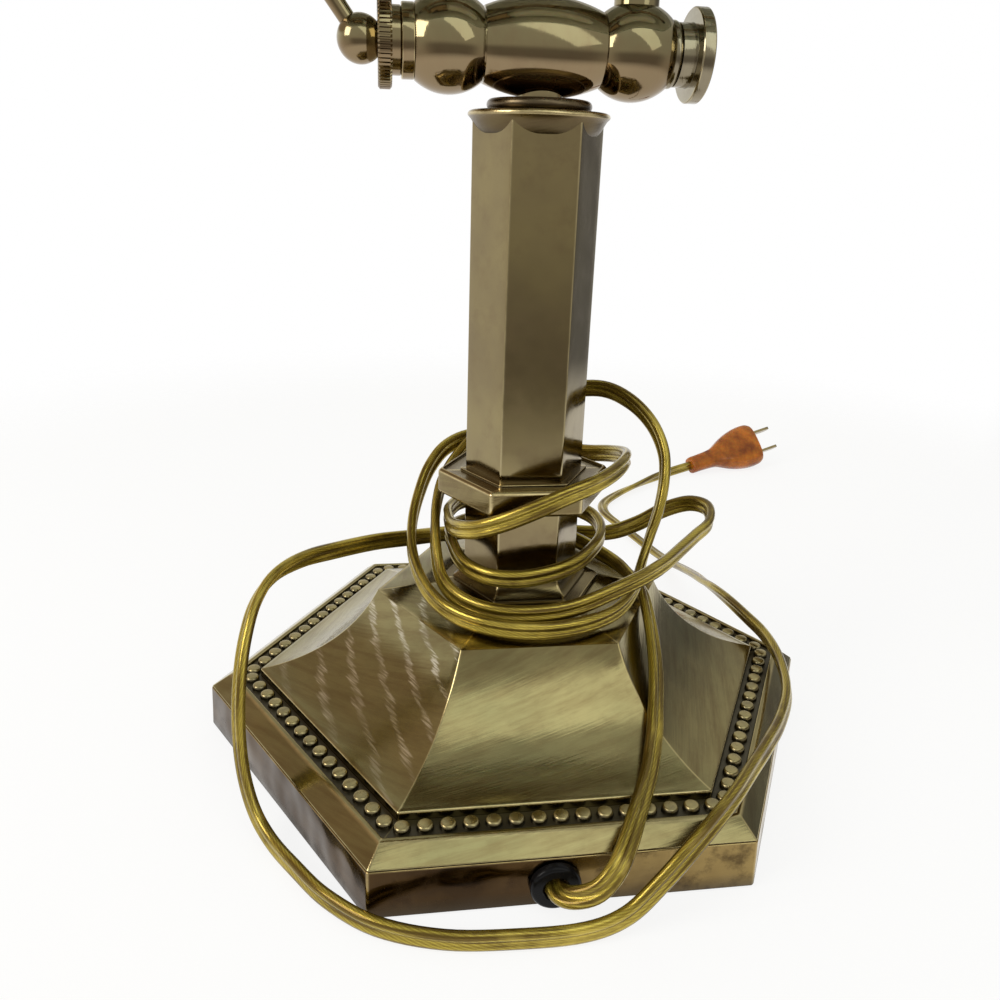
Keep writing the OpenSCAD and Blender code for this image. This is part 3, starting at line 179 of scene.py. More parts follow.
# A point is its angle in degrees, its distance from the axis and its height
ROUND_NECK = [
    (20, 30, 53.8), (38, 27.5, 55.5), (62, 25, 58), (90, 23.5, 60.5), (118, 22.8, 62.5), (145, 22.8, 64),
    (170, 23, 65), (190, 22.8, 64.5), (205, 23, 62), (220, 23.5, 60.8), (240, 24, 60.4), (262, 24, 61),
    (285, 24, 62.4), (305, 24, 63.6), (323, 24, 64.8), (343, 25, 66), (362, 26, 67), (383, 26.5, 67.5),
    (410, 25.5, 68), (440, 24.2, 69), (470, 23.4, 70.2), (500, 23.2, 71.3), (527, 23.2, 72),
    (545, 23.6, 72.3), (562, 25, 72.8), (578, 26.8, 74.4), (594, 28.6, 77), (610, 28.8, 80.6),
    (628, 29, 85), (644, 29.2, 88.4), (662, 30.2, 91), (680, 30.5, 92.4), (700, 31, 92.8),
    (718, 31.6, 91.5), (738, 31.2, 88.8), (760, 30.8, 86), (785, 31.5, 85.5), (810, 32.5, 87),
    (832, 33.5, 88.6), (850, 34, 86.5), (864, 34.3, 81.5), (876, 34.5, 75), (890, 34.7, 68.5),
    (904, 35, 62.5), (918, 35, 57.5), (933, 35.5, 54), (949, 36.5, 52.2), (966, 37.3, 51.5),
    (983, 37.8, 51.3), (1000, 38, 51.3), (1017, 38.2, 51.6), (1033, 38.4, 52.5), (1048, 38.4, 55),
    (1061, 38.8, 59.5), (1069, 41, 67), (1073, 43.5, 75.5), (1077, 45, 84), (1083, 45.5, 91.5),
    (1091, 43.5, 99), (1101, 39.5, 104.8), (1115, 35.5, 107.6), (1133, 31, 106), (1155, 28, 101),
    (1175, 27.2, 95.5), (1195, 28.4, 89.5), (1212, 28.6, 83.5), (1230, 27.8, 78.5), (1247, 27.2, 74),
    (1262, 27.6, 69), (1276, 28.8, 63.2), (1288, 30.3, 58.3), (1302, 31.8, 55.6), (1318, 33, 54.4),
    (1335, 33.8, 54.3), (1353, 34.2, 54.8), (1370, 35, 56), (1387, 38.2, 59.3), (1402, 42, 61.2),
    (1416, 46, 62), (1428, 51, 63), (1436, 57, 64.5), (1442, 63.5, 66.2), (1450, 67.5, 67.8),
    (1457, 65.5, 67), (1463, 60, 63), (1469, 53.5, 57), (1477, 46, 53),
]
TO_PLUG = [
    (24, 31.5, 52, 45), (10, 34, 52, 45), (-7, 33.5, 52.5, 45), (-22, 27, 54.5, 50),
    (-34, 17.5, 57.5, 54), (-46, 9, 60, 56), (-58, 0, 61.5, 56), (-68, -8.5, 62.5, 50),
    (-75.5, -17, 61.5, 40), (-80, -25, 57.5, 30), (-82.5, -32, 50.5, 20), (-84, -38, 41, 15),
    (-84.5, -43.5, 29, 10), (-83.5, -48, 17, 6), (-80.5, -53.5, 8, 3.2), (-75.5, -61, 3.8, 3),
    (-68.5, -71, 3.2, 3), (-60, -82, 3.2, 3), (-48, -91.8, 3.2, 3), (-32, -97.6, 3.2, 3),
    (-14, -99.4, 3.2, 3), (2, -99.2, 3.2, 3), (12.6, -98, 6, 3), (21, -96, 13, 3), (29, -93, 20, 3),
    (37.5, -87, 23.5, 3), (46, -79, 24.5, 3), (54, -70, 24.5, 3), (62.5, -60.5, 24.5, 3),
    (71, -50, 24, 3), (79, -37.5, 24, 3), (84, -25, 24, 3), (87, -12, 24.5, 3), (88, 1, 24.5, 3),
    (87, 12, 24.5, 0), (85.5, 25, 24.5, -10), (85, 38, 23, -40), (86, 52, 19.5, -100), (88, 68, 15, -200),
    (89.5, 86, 9.5, -300), (89.5, 104, 4.5, -400), (87.5, 121, 2.3, -400), (83.5, 140, 2.1, -400),
    (79, 158, 2.1, -400), (76.5, 173, 2.1, -400), (79.5, 186, 2.1, -400), (89.5, 198.5, 2.3, -300),
    (103, 210, 2.9, -150), (117.5, 221.5, 3.4, -50), (132.5, 231.8, 3.9, 0), (147.6, 239, 5.2, 5.3),
]


def smooth_line(points, steps):
    line = []
    for i in range(len(points) - 1):
        a, b, c, d = (Vector(points[min(max(j, 0), len(points) - 1)]) for j in (i - 1, i, i + 1, i + 2))
        for k in range(steps):
            t = k / steps
            line.append((2 * b + (c - a) * t + (2 * a - 5 * b + 4 * c - d) * t * t
                         + (3 * b - a - 3 * c + d) * t * t * t) / 2)
    return line + [Vector(points[-1])]


def gap(a, b):
    return (Vector(a) - Vector(b)).length


def sheet_of_rings(name, rings, crease=38, rows=None):
    """A closed skin over rings of points, with its own lengths as UV and rows of values for its points"""
    count = len(rings[0])
    vertices = [p for ring in rings for p in ring]
    faces = []
    for start in range(0, len(vertices) - count, count):
        for j in range(count):
            after = (j + 1) % count
            faces.append((start + j, start + after, start + count + after, start + count + j))
    faces.append(tuple(reversed(range(count))))
    faces.append(tuple(range(len(vertices) - count, len(vertices))))
    made = mesh_object(name, vertices, faces, crease)
    lengths = [0.0]
    for first, second in zip(rings, rings[1:]):
        lengths.append(lengths[-1] + sum(gap(a, b) for a, b in zip(first, second)) / count)
    longest = max(rings, key=lambda ring: sum(gap(a, b) for a, b in zip(ring, ring[1:])))
    along = [0.0]
    for j in range(count):
        along.append(along[-1] + gap(longest[j], longest[(j + 1) % count]))
    layer = made.data.uv_layers.new(name="UVMap")
    corner = 0
    for i in range(len(rings) - 1):
        for j in range(count):
            for u, v in ((along[j], lengths[i]), (along[j + 1], lengths[i]),
                         (along[j + 1], lengths[i + 1]), (along[j], lengths[i + 1])):
                layer.data[corner].uv = (u / 1000, v / 1000)
                corner += 1
    for label, values in (rows or {}).items():
        made.data.attributes.new(label, "FLOAT", "POINT").data.foreach_set("value", values)
    return made


route = list(ON_BASE)
for angle, radius, height in ROUND_NECK:
    turn = math.radians(angle)
    route.append((radius * math.cos(turn), radius * math.sin(turn), height, height))
spots_on_cord = smooth_line(route + TO_PLUG, CORD_STEPS)
centres = [p.to_3d() for p in spots_on_cord]
lobe = (CORD_WIDTH - CORD_THICK) / 2
section = [(side * (lobe + CORD_THICK / 2 * math.cos(turn)), side * CORD_THICK / 2 * math.sin(turn))
           for side in (1, -1) for turn in [math.radians(-140 + 28 * k) for k in range(11)]]
cord_rings = []
for i, (spot, centre) in enumerate(zip(spots_on_cord, centres)):
    ahead = (centres[min(i + 1, len(centres) - 1)] - centres[max(i - 1, 0)]).normalized()
    facing = Vector((spot[0], spot[1], spot[2] - spot[3]))
    thin = (facing - ahead * facing.dot(ahead)).normalized()
    wide = ahead.cross(thin)
    cord_rings.append([centre + wide * w + thin * t for w, t in section])
cord = sheet_of_rings("cord", cord_rings, crease=75)


def surface(name, settings):
    made = bpy.data.materials.new(name)
    made.use_nodes = True
    shader = made.node_tree.nodes["Principled BSDF"]
    for key, value in settings.items():
        shader.inputs[key].default_value = value
    return made, made.node_tree, shader


def noise(tree, coords, scale, detail=3.0, roughness=0.5):
    return add(tree, "TexNoise", {"Vector": coords, "Scale": scale, "Detail": detail,
                                  "Roughness": roughness}).outputs[0]


def ramp(tree, value, low, high, to_low=0.0, to_high=1.0):
    return add(tree, "MapRange", {0: value, 1: low, 2: high, 3: to_low, 4: to_high}).outputs[0]


def stretched(tree, coords, scale):
    return add(tree, "Mapping", {"Vector": coords, "Scale": scale}).outputs[0]


def finished(obj, body, material, slot, *nodes):
    obj.data.materials.append(material)
    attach(obj, body)
    if nodes:
        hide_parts(*nodes)


def painted(material, *nodes):
    for name in nodes:
        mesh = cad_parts[name].data
        mesh.materials.clear()
        mesh.materials.append(material)


flex, tree, shader = surface("cord_flex", {
    "Metallic": 0.75, "Roughness": 0.24, "Coat Weight": 0.25, "Coat Roughness": 0.05})
flat = add(tree, "TexCoord").outputs["UV"]
strands = add(tree, "TexWave", {"Vector": stretched(tree, flat, (900, 260, 1)), "Scale": 1, "Distortion": 1.2,
                                "Detail": 2}, bands_direction="DIAGONAL").outputs["Fac"]
streaks = noise(tree, stretched(tree, flat, (900, 26, 1)), 1, 3, 0.6)
cloud = noise(tree, stretched(tree, flat, (60, 40, 1)), 1, 4, 0.6)
gold = blend_colours(tree, ramp(tree, strands, 0.2, 0.8), (0.33, 0.235, 0.026, 1), (0.48, 0.375, 0.055, 1))
gold = blend_colours(tree, ramp(tree, streaks, 0.44, 0.56, 0, 0.9), gold, (0.12, 0.07, 0.008, 1))
gold = blend_colours(tree, ramp(tree, cloud, 0.5, 0.7, 0, 0.7), gold, (0.7, 0.54, 0.1, 1))
tree.links.new(gold, shader.inputs["Base Color"])
bump = add(tree, "Bump", {"Height": streaks, "Strength": 0.3, "Distance": 0.0003})
tree.links.new(bump.outputs[0], shader.inputs["Normal"])
finished(cord, "stand", flex, "cord", "cord_lead", "cord_winding", "cord_tail")
painted(flex, "inner_lead")

# Plug: moulded on the end of the cord in clear amber plastic, a stem that swells into a finger grip with
# rounded lobes.
PLUG_LENGTH, PLUG_SIDES, PLUG_SQUARE = 50, 48, 0.72
PLUG_TURN, PLUG_LIFT, PLUG_ROLL = 19.4, -9.63, -37.3

# A row is a share of the length of the plug and how much of its swelling it has there
PLUG_SWELL = [(0, -0.12), (0.02, 0), (0.14, 0.02), (0.28, 0.06), (0.37, 0.14), (0.46, 0.36), (0.56, 0.62),
              (0.68, 0.84), (0.8, 0.97), (0.9, 1), (0.96, 0.97), (1, 0.86)]


def squared_off(value, power):
    return math.copysign(abs(value) ** power, value)


plug_at = (
    Matrix.Translation(centres[-1])
    @ Matrix.Rotation(math.radians(PLUG_TURN), 4, "Z")
    @ Matrix.Rotation(math.radians(PLUG_LIFT), 4, "Y")
    @ Matrix.Rotation(math.radians(PLUG_ROLL), 4, "X")
)
plug_rings = []
for along, swell in smooth_line(PLUG_SWELL, 3):
    high, thick = (10 + 17 * swell) / 2, (8 + 7 * swell) / 2
    ring = []
    for k in range(PLUG_SIDES):
        turn = 2 * math.pi * k / PLUG_SIDES
        ring.append(plug_at @ Vector((PLUG_LENGTH * along, thick * squared_off(math.cos(turn), PLUG_SQUARE),
                                      high * squared_off(math.sin(turn), PLUG_SQUARE))))
    plug_rings.append(ring)
plug = sheet_of_rings("plug", plug_rings, crease=60)
amber, tree, shader = surface("amber_plastic", {
    "Roughness": 0.25, "Coat Weight": 0.2, "Coat Roughness": 0.08, "Specular IOR Level": 0.3,
    "Subsurface Weight": 0.35, "Subsurface Scale": 0.006})
cloud = ramp(tree, noise(tree, add(tree, "TexCoord").outputs["Object"], 90, 4, 0.6), 0.35, 0.65)
tree.links.new(blend_colours(tree, cloud, (0.22, 0.05, 0.004, 1), (0.6, 0.19, 0.014, 1)),
               shader.inputs["Base Color"])
finished(plug, "stand", amber, "amber_plastic", "plug_body")

# Blades: two flat brass blades moulded into the plug. Their aged brass is the metal of the whole lamp, with
# olive and brown bloom, stains, brush strokes, worn bright edges, darker inside corners, painted shade on
# faces that look down, and painted reflection lines on the base cover.


def node_group(name, inputs, outputs):
    tree = bpy.data.node_groups.new(name, "ShaderNodeTree")
    for label, kind in inputs:
        tree.interface.new_socket(label, in_out="INPUT", socket_type="NodeSocket" + kind)
    for label, kind in outputs:
        tree.interface.new_socket(label, in_out="OUTPUT", socket_type="NodeSocket" + kind)
    return tree, tree.nodes.new("NodeGroupInput").outputs, tree.nodes.new("NodeGroupOutput").inputs


brass_group, given, result = node_group("aged_brass", [
    ("Gold", "Color"), ("Olive", "Color"), ("Brown", "Color"), ("Stain", "Float"), ("Rough", "Float"),
    ("Waves", "Float"), ("Grain", "Float"), ("Worn", "Color"), ("Under", "Float"), ("ReflectionLines", "Float")],
    [("Colour", "Color"), ("Roughness", "Float"), ("Height", "Float")])
tree = brass_group
place = add(tree, "TexCoord").outputs

# Bloom and stains
broad = ramp(tree, noise(tree, place["Object"], 22, 4, 0.6), 0.36, 0.64)
fine = noise(tree, place["Object"], 160, 8, 0.65)
spots = math_node(tree, "MULTIPLY", ramp(tree, fine, 0.5, 0.68), given["Stain"])
tone = blend_colours(tree, broad, given["Olive"], given["Gold"])
tone = blend_colours(tree, spots, tone, given["Brown"])

# Strokes of the brush that the sheet was finished with
slanting = add(tree, "Mapping", {"Vector": place["UV"], "Rotation": (0, 0, -0.2)}).outputs[0]
grain = noise(tree, stretched(tree, slanting, (30, 1500, 1)), 1, 3, 0.6)
strokes = noise(tree, stretched(tree, slanting, (22, 240, 1)), 1, 5, 0.7)
strokes = math_node(tree, "MULTIPLY", ramp(tree, strokes, 0.42, 0.66, 0, 14), given["Grain"])
tone = blend_colours(tree, strokes, tone, given["Brown"])

# Painted shade and reflection: faces that look down are mixed toward brown
slope = add(tree, "SeparateXYZ", {0: place["Normal"]}).outputs["Z"]
under_shade = math_node(tree, "MULTIPLY", soft_step(tree, slope, 0.12, -0.4), given["Under"])
tone = blend_colours(tree, under_shade, tone, given["Brown"])

# Painted reflection: bright jagged lines across the left front face of the base, in place of wavy reflections
# in its sheet
uv = add(tree, "SeparateXYZ", {0: place["UV"]}).outputs
jag = noise(tree, stretched(tree, place["UV"], (15, 240, 1)), 1, 5, 0.72)
line = math_node(tree, "ADD", uv["X"], math_node(tree, "MULTIPLY", uv["Y"], 3.1))
line = math_node(tree, "ADD", line, math_node(tree, "MULTIPLY", jag, 0.034))
line = math_node(tree, "SINE", math_node(tree, "MULTIPLY", line, 180), 0)
line = soft_step(tree, line, 0.6, 1)
hairs = noise(tree, stretched(tree, place["UV"], (60, 1600, 1)), 1, 3, 0.6)
line = math_node(tree, "MULTIPLY", line, ramp(tree, hairs, 0.42, 0.62, 0.1, 1))
patches = noise(tree, place["Object"], 45, 2)
line = math_node(tree, "MULTIPLY", line, ramp(tree, patches, 0.35, 0.6, 0.2, 1))
side = add(tree, "VectorMath", {0: place["Object"], 1: (1, 1, 0)}, operation="MULTIPLY").outputs[0]
side = add(tree, "VectorMath", {0: side}, operation="NORMALIZE").outputs[0]
reflection_face = facing_mask(tree, side, (-0.87, -0.5, 0), 0.86, 0.88)
height = add(tree, "SeparateXYZ", {0: place["Object"]}).outputs["Z"]
reflection_face = math_node(tree, "MULTIPLY", reflection_face, soft_step(tree, height, 0.0195, 0.021))
line = math_node(tree, "MULTIPLY", math_node(tree, "MULTIPLY", line, reflection_face), given["ReflectionLines"])
tone = blend_colours(tree, line, tone, (1, 0.94, 0.78, 1))

# Worn edges, and dark brown where points are marked deep: inside corners, lower edges, and painted shade
# under the column cap
edge = add(tree, "Attribute", attribute_name="edge").outputs["Fac"]
deep = add(tree, "Attribute", attribute_name="deep").outputs["Fac"]
worn = math_node(tree, "MULTIPLY", edge, ramp(tree, fine, 0.3, 0.6, 0.35, 0.95))
tone = blend_colours(tree, worn, tone, given["Worn"])
tone = blend_colours(tree, math_node(tree, "MULTIPLY", deep, 0.85), tone, (0.05, 0.04, 0.025, 1))
tree.links.new(tone, result["Colour"])

# Roughness, and the height of the uneven sheet with its grain
rough = math_node(tree, "ADD", given["Rough"], ramp(tree, fine, 0.3, 0.7, -0.03, 0.04))
dull = noise(tree, place["Object"], 34, 3, 0.6)
rough = math_node(tree, "ADD", rough, ramp(tree, dull, 0.4, 0.62, -0.03, 0.07))
rough = math_node(tree, "ADD", rough, math_node(tree, "MULTIPLY", spots, 0.18))
rough = math_node(tree, "ADD", rough, math_node(tree, "MULTIPLY", deep, 0.3))
tree.links.new(rough, result["Roughness"])
waves = math_node(tree, "MULTIPLY", noise(tree, place["Object"], 70, 1, 0.4), given["Waves"])
grain = math_node(tree, "MULTIPLY", grain, given["Grain"])
tree.links.new(math_node(tree, "ADD", waves, grain), result["Height"])


# under sets the painted shade and reflection on faces that look down; the last argument sets the painted
# reflection lines.
def brass(name, gold, olive, brown, stain, rough, waves, grain, bright=(0.8, 0.66, 0.36), under=0.5, reflection_lines=0):
    made, tree, shader = surface(name, {"Metallic": 1, "Coat Weight": 0.1, "Coat Roughness": 0.12})
    group = tree.nodes.new("ShaderNodeGroup")
    group.node_tree = brass_group
    values = ((*gold, 1), (*olive, 1), (*brown, 1), stain, rough, waves, grain, (*bright, 1), under, reflection_lines)
    for socket, value in zip(group.inputs, values):
        socket.default_value = value
    tree.links.new(group.outputs["Colour"], shader.inputs["Base Color"])
    tree.links.new(group.outputs["Roughness"], shader.inputs["Roughness"])
    bump = add(tree, "Bump", {"Height": group.outputs["Height"], "Strength": 1, "Distance": 0.001})
    tree.links.new(bump.outputs[0], shader.inputs["Normal"])
    return made


blade_brass = brass("blade_brass", (0.5, 0.4, 0.2), (0.4, 0.33, 0.17), (0.22, 0.15, 0.08),
                    stain=0.5, rough=0.25, waves=0, grain=0.02)
painted(blade_brass, "plug_blades")

# Outlet: a black rubber bushing pressed into the hole in the front face of the band, which keeps the
# edge of the metal off the cord.


def softened(points, steps=4):
    """A profile of (radius, place, rounding) with its corners rounded, as (radius, place, edge, deep)"""
    made = [(points[0][0], points[0][1], 0.0, 0.0)]
    for before, here, after in zip(points, points[1:], points[2:]):
        a, b, c = Vector(before[:2]), Vector(here[:2]), Vector(after[:2])
        if not here[2]:
            made.append((b[0], b[1], 0.0, 0.0))
            continue
        start = b + (a - b).normalized() * min(here[2], (a - b).length * 0.45)
        end = b + (c - b).normalized() * min(here[2], (c - b).length * 0.45)
        turn = (b - a).normalized().cross((c - b).normalized())
        for k in range(steps + 1):
            t = k / steps
            spot = start.lerp(b, t).lerp(b.lerp(end, t), t)
            swell = (1 - abs(2 * t - 1)) * min(1, abs(turn) * 1.6)
            made.append((spot[0], spot[1], swell if turn > 0 else 0.0, swell if turn < 0 else 0.0))
    return made + [(points[-1][0], points[-1][1], 0.0, 0.0)]


def turned(name, at, axis, profile, around=96):
    """A piece from the lathe: its profile is (radius, place on the axis, edge, deep)"""
    frame_of_axis = Vector(axis).to_track_quat("Z", "Y").to_matrix()
    rings, edges, hollows = [], [], []
    for radius, along, edge_of, deep_of in profile:
        rings.append([Vector(at) + frame_of_axis @ Vector((
            radius * math.cos(2 * math.pi * k / around), radius * math.sin(2 * math.pi * k / around), along))
            for k in range(around)])
        edges += [edge_of] * around
        hollows += [deep_of] * around
    return sheet_of_rings(name, rings, rows={"edge": edges, "deep": hollows})


def arc(middle, radius, first, last, steps):
    return [(middle[0] + radius * math.cos(math.radians(first + (last - first) * k / steps)),
             middle[1] + radius * math.sin(math.radians(first + (last - first) * k / steps)), 0.0, 0.0)
            for k in range(steps + 1)]


def mottled(name, settings, dark, light, scale, detail, roughness=0.5):
    made, tree, shader = surface(name, settings)
    cloud = noise(tree, add(tree, "TexCoord").outputs["Object"], scale, detail, roughness)
    tree.links.new(blend_colours(tree, cloud, (*dark, 1), (*light, 1)), shader.inputs["Base Color"])
    return made


grommet = turned("outlet_bushing", (-3.2, 0, 7), (0, -1, 0),
                 [(3.4, 83, 0, 0), (4.4, 83, 0, 0), (4.4, 86.9, 0, 0), (6.6, 87, 0, 0)]
                 + arc((5.5, 88.1), 1.1, 0, 90, 8)
                 + [(3.6, 89.2, 0, 0), (3.4, 89, 0, 0), (3.4, 83, 0, 0)], around=48)
rubber = mottled("black_rubber", {"Roughness": 0.2, "Specular IOR Level": 0.12},
                 (0.003, 0.003, 0.004), (0.01, 0.0095, 0.01), 400, 4)
finished(grommet, "stand", rubber, "black_rubber", "cord_grommet")
cord_length = sum(gap(a, b) for a, b in zip(centres, centres[1:]))

# Base band: the polished brass wall of the hexagonal base, bent from strip, its faces slightly uneven. It is
# darkened by painted shade but for its right side, and darker towards the lower edge.


def hexagonal(name, profile, corner=0.7, flats=13, bend=5, spin=0):
    """A hexagonal piece: its profile is (half the flats, height, edge, deep), its corners are rounded"""
    rings, edges, hollows = [], [], []
    for apothem, height, edge_of, deep_of in profile:
        ring = []
        rounding = min(corner, apothem * 0.5)
        half = (apothem - rounding) * math.tan(math.pi / 6)
        for k in range(6):
            turn = math.radians(60 * k - 90 + spin)
            for j in range(flats):
                across = half * (2 * j / (flats - 1) - 1)
                ring.append((apothem * math.cos(turn) - across * math.sin(turn),
                             apothem * math.sin(turn) + across * math.cos(turn), height))
                edges.append(edge_of)
            middle = (apothem - rounding) / math.cos(math.pi / 6)
            for j in range(1, bend + 1):
                round_turn = turn + math.pi / 3 * j / (bend + 1)
                ring.append((middle * math.cos(turn + math.pi / 6) + rounding * math.cos(round_turn),
                             middle * math.sin(turn + math.pi / 6) + rounding * math.sin(round_turn), height))
                edges.append(max(edge_of, 1 - abs(2 * j / (bend + 1) - 1)))
        hollows += [deep_of] * len(ring)
        rings.append(ring)
    return sheet_of_rings(name, rings, rows={"edge": edges, "deep": hollows})


BAND_GOLD, BAND_OLIVE = (0.42, 0.3, 0.11), (0.22, 0.145, 0.052)
LEFT_SHADE_GOLD, LEFT_SHADE_OLIVE = (0.11, 0.063, 0.023), (0.045, 0.025, 0.01)
band = hexagonal("base_wall", [
    (80, 0.4, 0, 1), (86.6, 0.4, 0, 1), (86.9, 0.6, 0, 0.9), (87, 1, 0, 0.7), (86.9, 3, 0, 0.4)]
    + softened([(86.8, 5, 0), (86.75, 6, 0), (86.4, 14.3, 0.4), (80, 14.5, 0)]), corner=1.2)
band_brass = brass("band_brass", BAND_GOLD, BAND_OLIVE, (0.045, 0.024, 0.009),
                   stain=0.7, rough=0.13, waves=1.6, grain=0.01, bright=(0.5, 0.38, 0.17))
tree = band_brass.node_tree
place = add(tree, "TexCoord").outputs["Object"]
across = math_node(tree, "ADD", add(tree, "SeparateXYZ", {0: place}).outputs["X"],
                   math_node(tree, "MULTIPLY", noise(tree, place, 35, 4, 0.6), 0.06))
# Painted shade: the band's colour goes from gold on the right to dark brown on the left.
left_shade = soft_step(tree, across, 0.075, 0.02)
for label, lit_colour, dark in (("Gold", BAND_GOLD, LEFT_SHADE_GOLD), ("Olive", BAND_OLIVE, LEFT_SHADE_OLIVE)):
    tree.links.new(blend_colours(tree, left_shade, (*lit_colour, 1), (*dark, 1)), tree.nodes["Group"].inputs[label])
finished(band, "stand", band_brass, "polished_brass", "base_band")

# Base cover: one deep pressing in satin brass, a sloped lip, a channel for the bead border, and the
# hollow flanks that rise to the shoulder, mitred at six sharp hips.
flank = arc((82.011, 65.147), 46, 258.32, 203.1, 28)
cover_profile = softened([
    (85, 14.5, 0), (86.35, 14.5, 0.5), (81, 18.7, 0.9), (79.5, 18.7, 0.5), (79.5, 17.2, 0.3),
    (72.7, 17.2, 0.3), (72.7, 20.1, 0.5), (70.5, 20.9, 0)])[:-1]
cover_profile += [p for p in flank if p[0] < 71.5]
cover_profile += softened([cover_profile[-1][:2] + (0,), (39.7, 47.1, 1.5), (30, 48.5, 0), (16, 49.5, 0)])[1:]
cover = hexagonal("base_pressing", cover_profile, corner=0.8, flats=25)
# The cover's left front face carries painted reflection lines, bright and jagged.
cover_brass = brass("cover_brass", (0.35, 0.295, 0.135), (0.265, 0.235, 0.108), (0.16, 0.1, 0.04),
                    stain=0.12, rough=0.14, waves=0.2, grain=0.035, bright=(0.62, 0.51, 0.26), reflection_lines=0.65)
finished(cover, "stand", cover_brass, "aged_brass", "base_cover")

# Bead border: a cast strip of round beads pressed into the channel, dark in the gaps and rubbed bright on
# top of every bead.
BEADS_ON_A_SIDE, BEAD_SIDES, BEAD_LINE = 15, 20, 76.1
BEAD_SHAPE = [(2.28, 17.3), (2.31, 17.9), (2.25, 18.4), (2.1, 18.85), (1.9, 19.13), (1.7, 19.27),
              (1.58, 19.3)]
bead_vertices, bead_faces, bead_bright = [], [], []
pitch = 2 * BEAD_LINE * math.tan(math.pi / 6) / BEADS_ON_A_SIDE
for side in range(6):
    turn = math.radians(60 * side)
    for i in range(BEADS_ON_A_SIDE):
        x, y = (i - BEADS_ON_A_SIDE // 2) * pitch, -BEAD_LINE
        first = len(bead_vertices)
        for radius, height in BEAD_SHAPE:
            for k in range(BEAD_SIDES):
                px = x + radius * math.cos(2 * math.pi * k / BEAD_SIDES)
                py = y + radius * math.sin(2 * math.pi * k / BEAD_SIDES)
                bead_vertices.append((px * math.cos(turn) - py * math.sin(turn),
                                      px * math.sin(turn) + py * math.cos(turn), height))
                bead_bright.append(min(1, max(0, (height - 18.7) / 0.5)))
        last = first + BEAD_SIDES * (len(BEAD_SHAPE) - 1)
        for start in range(first, last, BEAD_SIDES):
            for k in range(BEAD_SIDES):
                after = (k + 1) % BEAD_SIDES
                bead_faces.append((start + k, start + after,
                                   start + BEAD_SIDES + after, start + BEAD_SIDES + k))
        bead_faces.append(tuple(range(last, last + BEAD_SIDES)))
beads = mesh_object("bead_row", bead_vertices, bead_faces)
beads.data.attributes.new("edge", "FLOAT", "POINT").data.foreach_set("value", bead_bright)
bead_brass = brass("bead_brass", (0.16, 0.142, 0.095), (0.11, 0.1, 0.07), (0.05, 0.042, 0.03),
                   stain=0.3, rough=0.24, waves=0, grain=0, bright=(0.52, 0.43, 0.2))
finished(beads, "stand", bead_brass, "bead_brass")
strip = hexagonal("bead_strip", [
    (79.4, 17.25, 0, 0), (79.4, 17.7, 0, 0.55), (72.8, 17.7, 0, 0.55), (72.8, 17.25, 0, 0)], corner=0.5)
finished(strip, "stand", bead_brass, "bead_brass", "bead_border")

# Column foot: a hexagonal step plate with a flared foot that the tube stands on, in one brass casting that
# lies on the shoulder of the base.
foot = hexagonal("column_step", softened([
    (12, 49.5, 0), (22.7, 49.5, 0.2), (22.7, 50.9, 0.4), (18.8, 50.9, 0.3), (18.8, 51.8, 0)])
    + arc((22.13, 57.4), 6.43, 238.8, 180, 10), corner=1.2)
satin = brass("satin_brass", (0.27, 0.21, 0.09), (0.21, 0.17, 0.075), (0.14, 0.085, 0.038),
              stain=0.2, rough=0.18, waves=0.05, grain=0.04)
finished(foot, "stand", satin, "aged_brass", "column_foot")

# Column: a brass tube drawn to a hexagon with rounded corners and polished along its length. It stands on
# the foot, and the pipe inside it holds it down.
COLUMN_START, COLUMN_LENGTH, COLUMN_ROWS = 57.4, 129.5, 24
column_profile = [(15.7, COLUMN_START + COLUMN_LENGTH * k / COLUMN_ROWS, 0, 0)
                  for k in range(COLUMN_ROWS + 1)]
column = hexagonal("column_hexagon", column_profile, corner=0.9, flats=7, bend=7, spin=-2)
column_brass = brass("column_brass", (0.305, 0.245, 0.117), (0.235, 0.182, 0.097), (0.17, 0.105, 0.06),
                     stain=0.2, rough=0.12, waves=0.1, grain=0, bright=(0.5, 0.42, 0.24), under=0)
finished(column, "stand", column_brass, "polished_brass", "column_tube")

# Collar: a thick hexagonal brass ring that slides on the column and hides a joint, its top sunk inside a
# rim.
collar = hexagonal("collar_ring", softened([
    (15.75, 80.1, 0), (22.4, 80.1, 0.3), (23.2, 80.9, 0.5), (23.2, 87.3, 0.5), (22.4, 88.1, 0.3),
    (21.9, 88.1, 0.2), (21.9, 87.3, 0.2), (17.3, 87.3, 0.2), (17.3, 88.1, 0.2), (15.75, 88.1, 0)]),
    corner=1.6)
finished(collar, "stand", satin, "aged_brass", "column_collar")

# Cap: a turned cup on the end of the column; the corners of the tube come through it, so its edge runs in
# lobes, and a dark check ring lies on top of it.
# The cup's underside is darkened with painted shade through its deep values, most where it meets the column.
cap = turned("column_cup", (0, 0, 0), (0, 0, 1), [
    (15.6, 183.0, 0, 0.9), (15.9, 183.1, 0, 0.8), (16.4, 183.6, 0, 0.6), (16.9, 184.3, 0, 0.5),
    (17.4, 185.1, 0, 0.45), (17.9, 186, 0, 0.4), (18.4, 186.8, 0, 0.3), (18.9, 187.3, 0, 0.2),
    (19.2, 187.55, 0.4, 0), (19.3, 187.9, 0.8, 0), (19.2, 188.3, 0.8, 0), (18.9, 188.65, 0.4, 0),
    (18.4, 188.88, 0, 0), (6, 188.9, 0, 0)], around=144)
finished(cap, "stand", satin, "polished_brass", "column_cap")
ring = turned("cup_ring", (0, 0, 188.9), (0, 0, 1),
              [(6, 0, 0, 0)] + arc((12.75, 1.5), 1.5, -90, 90, 12) + [(6, 3, 0, 0)])
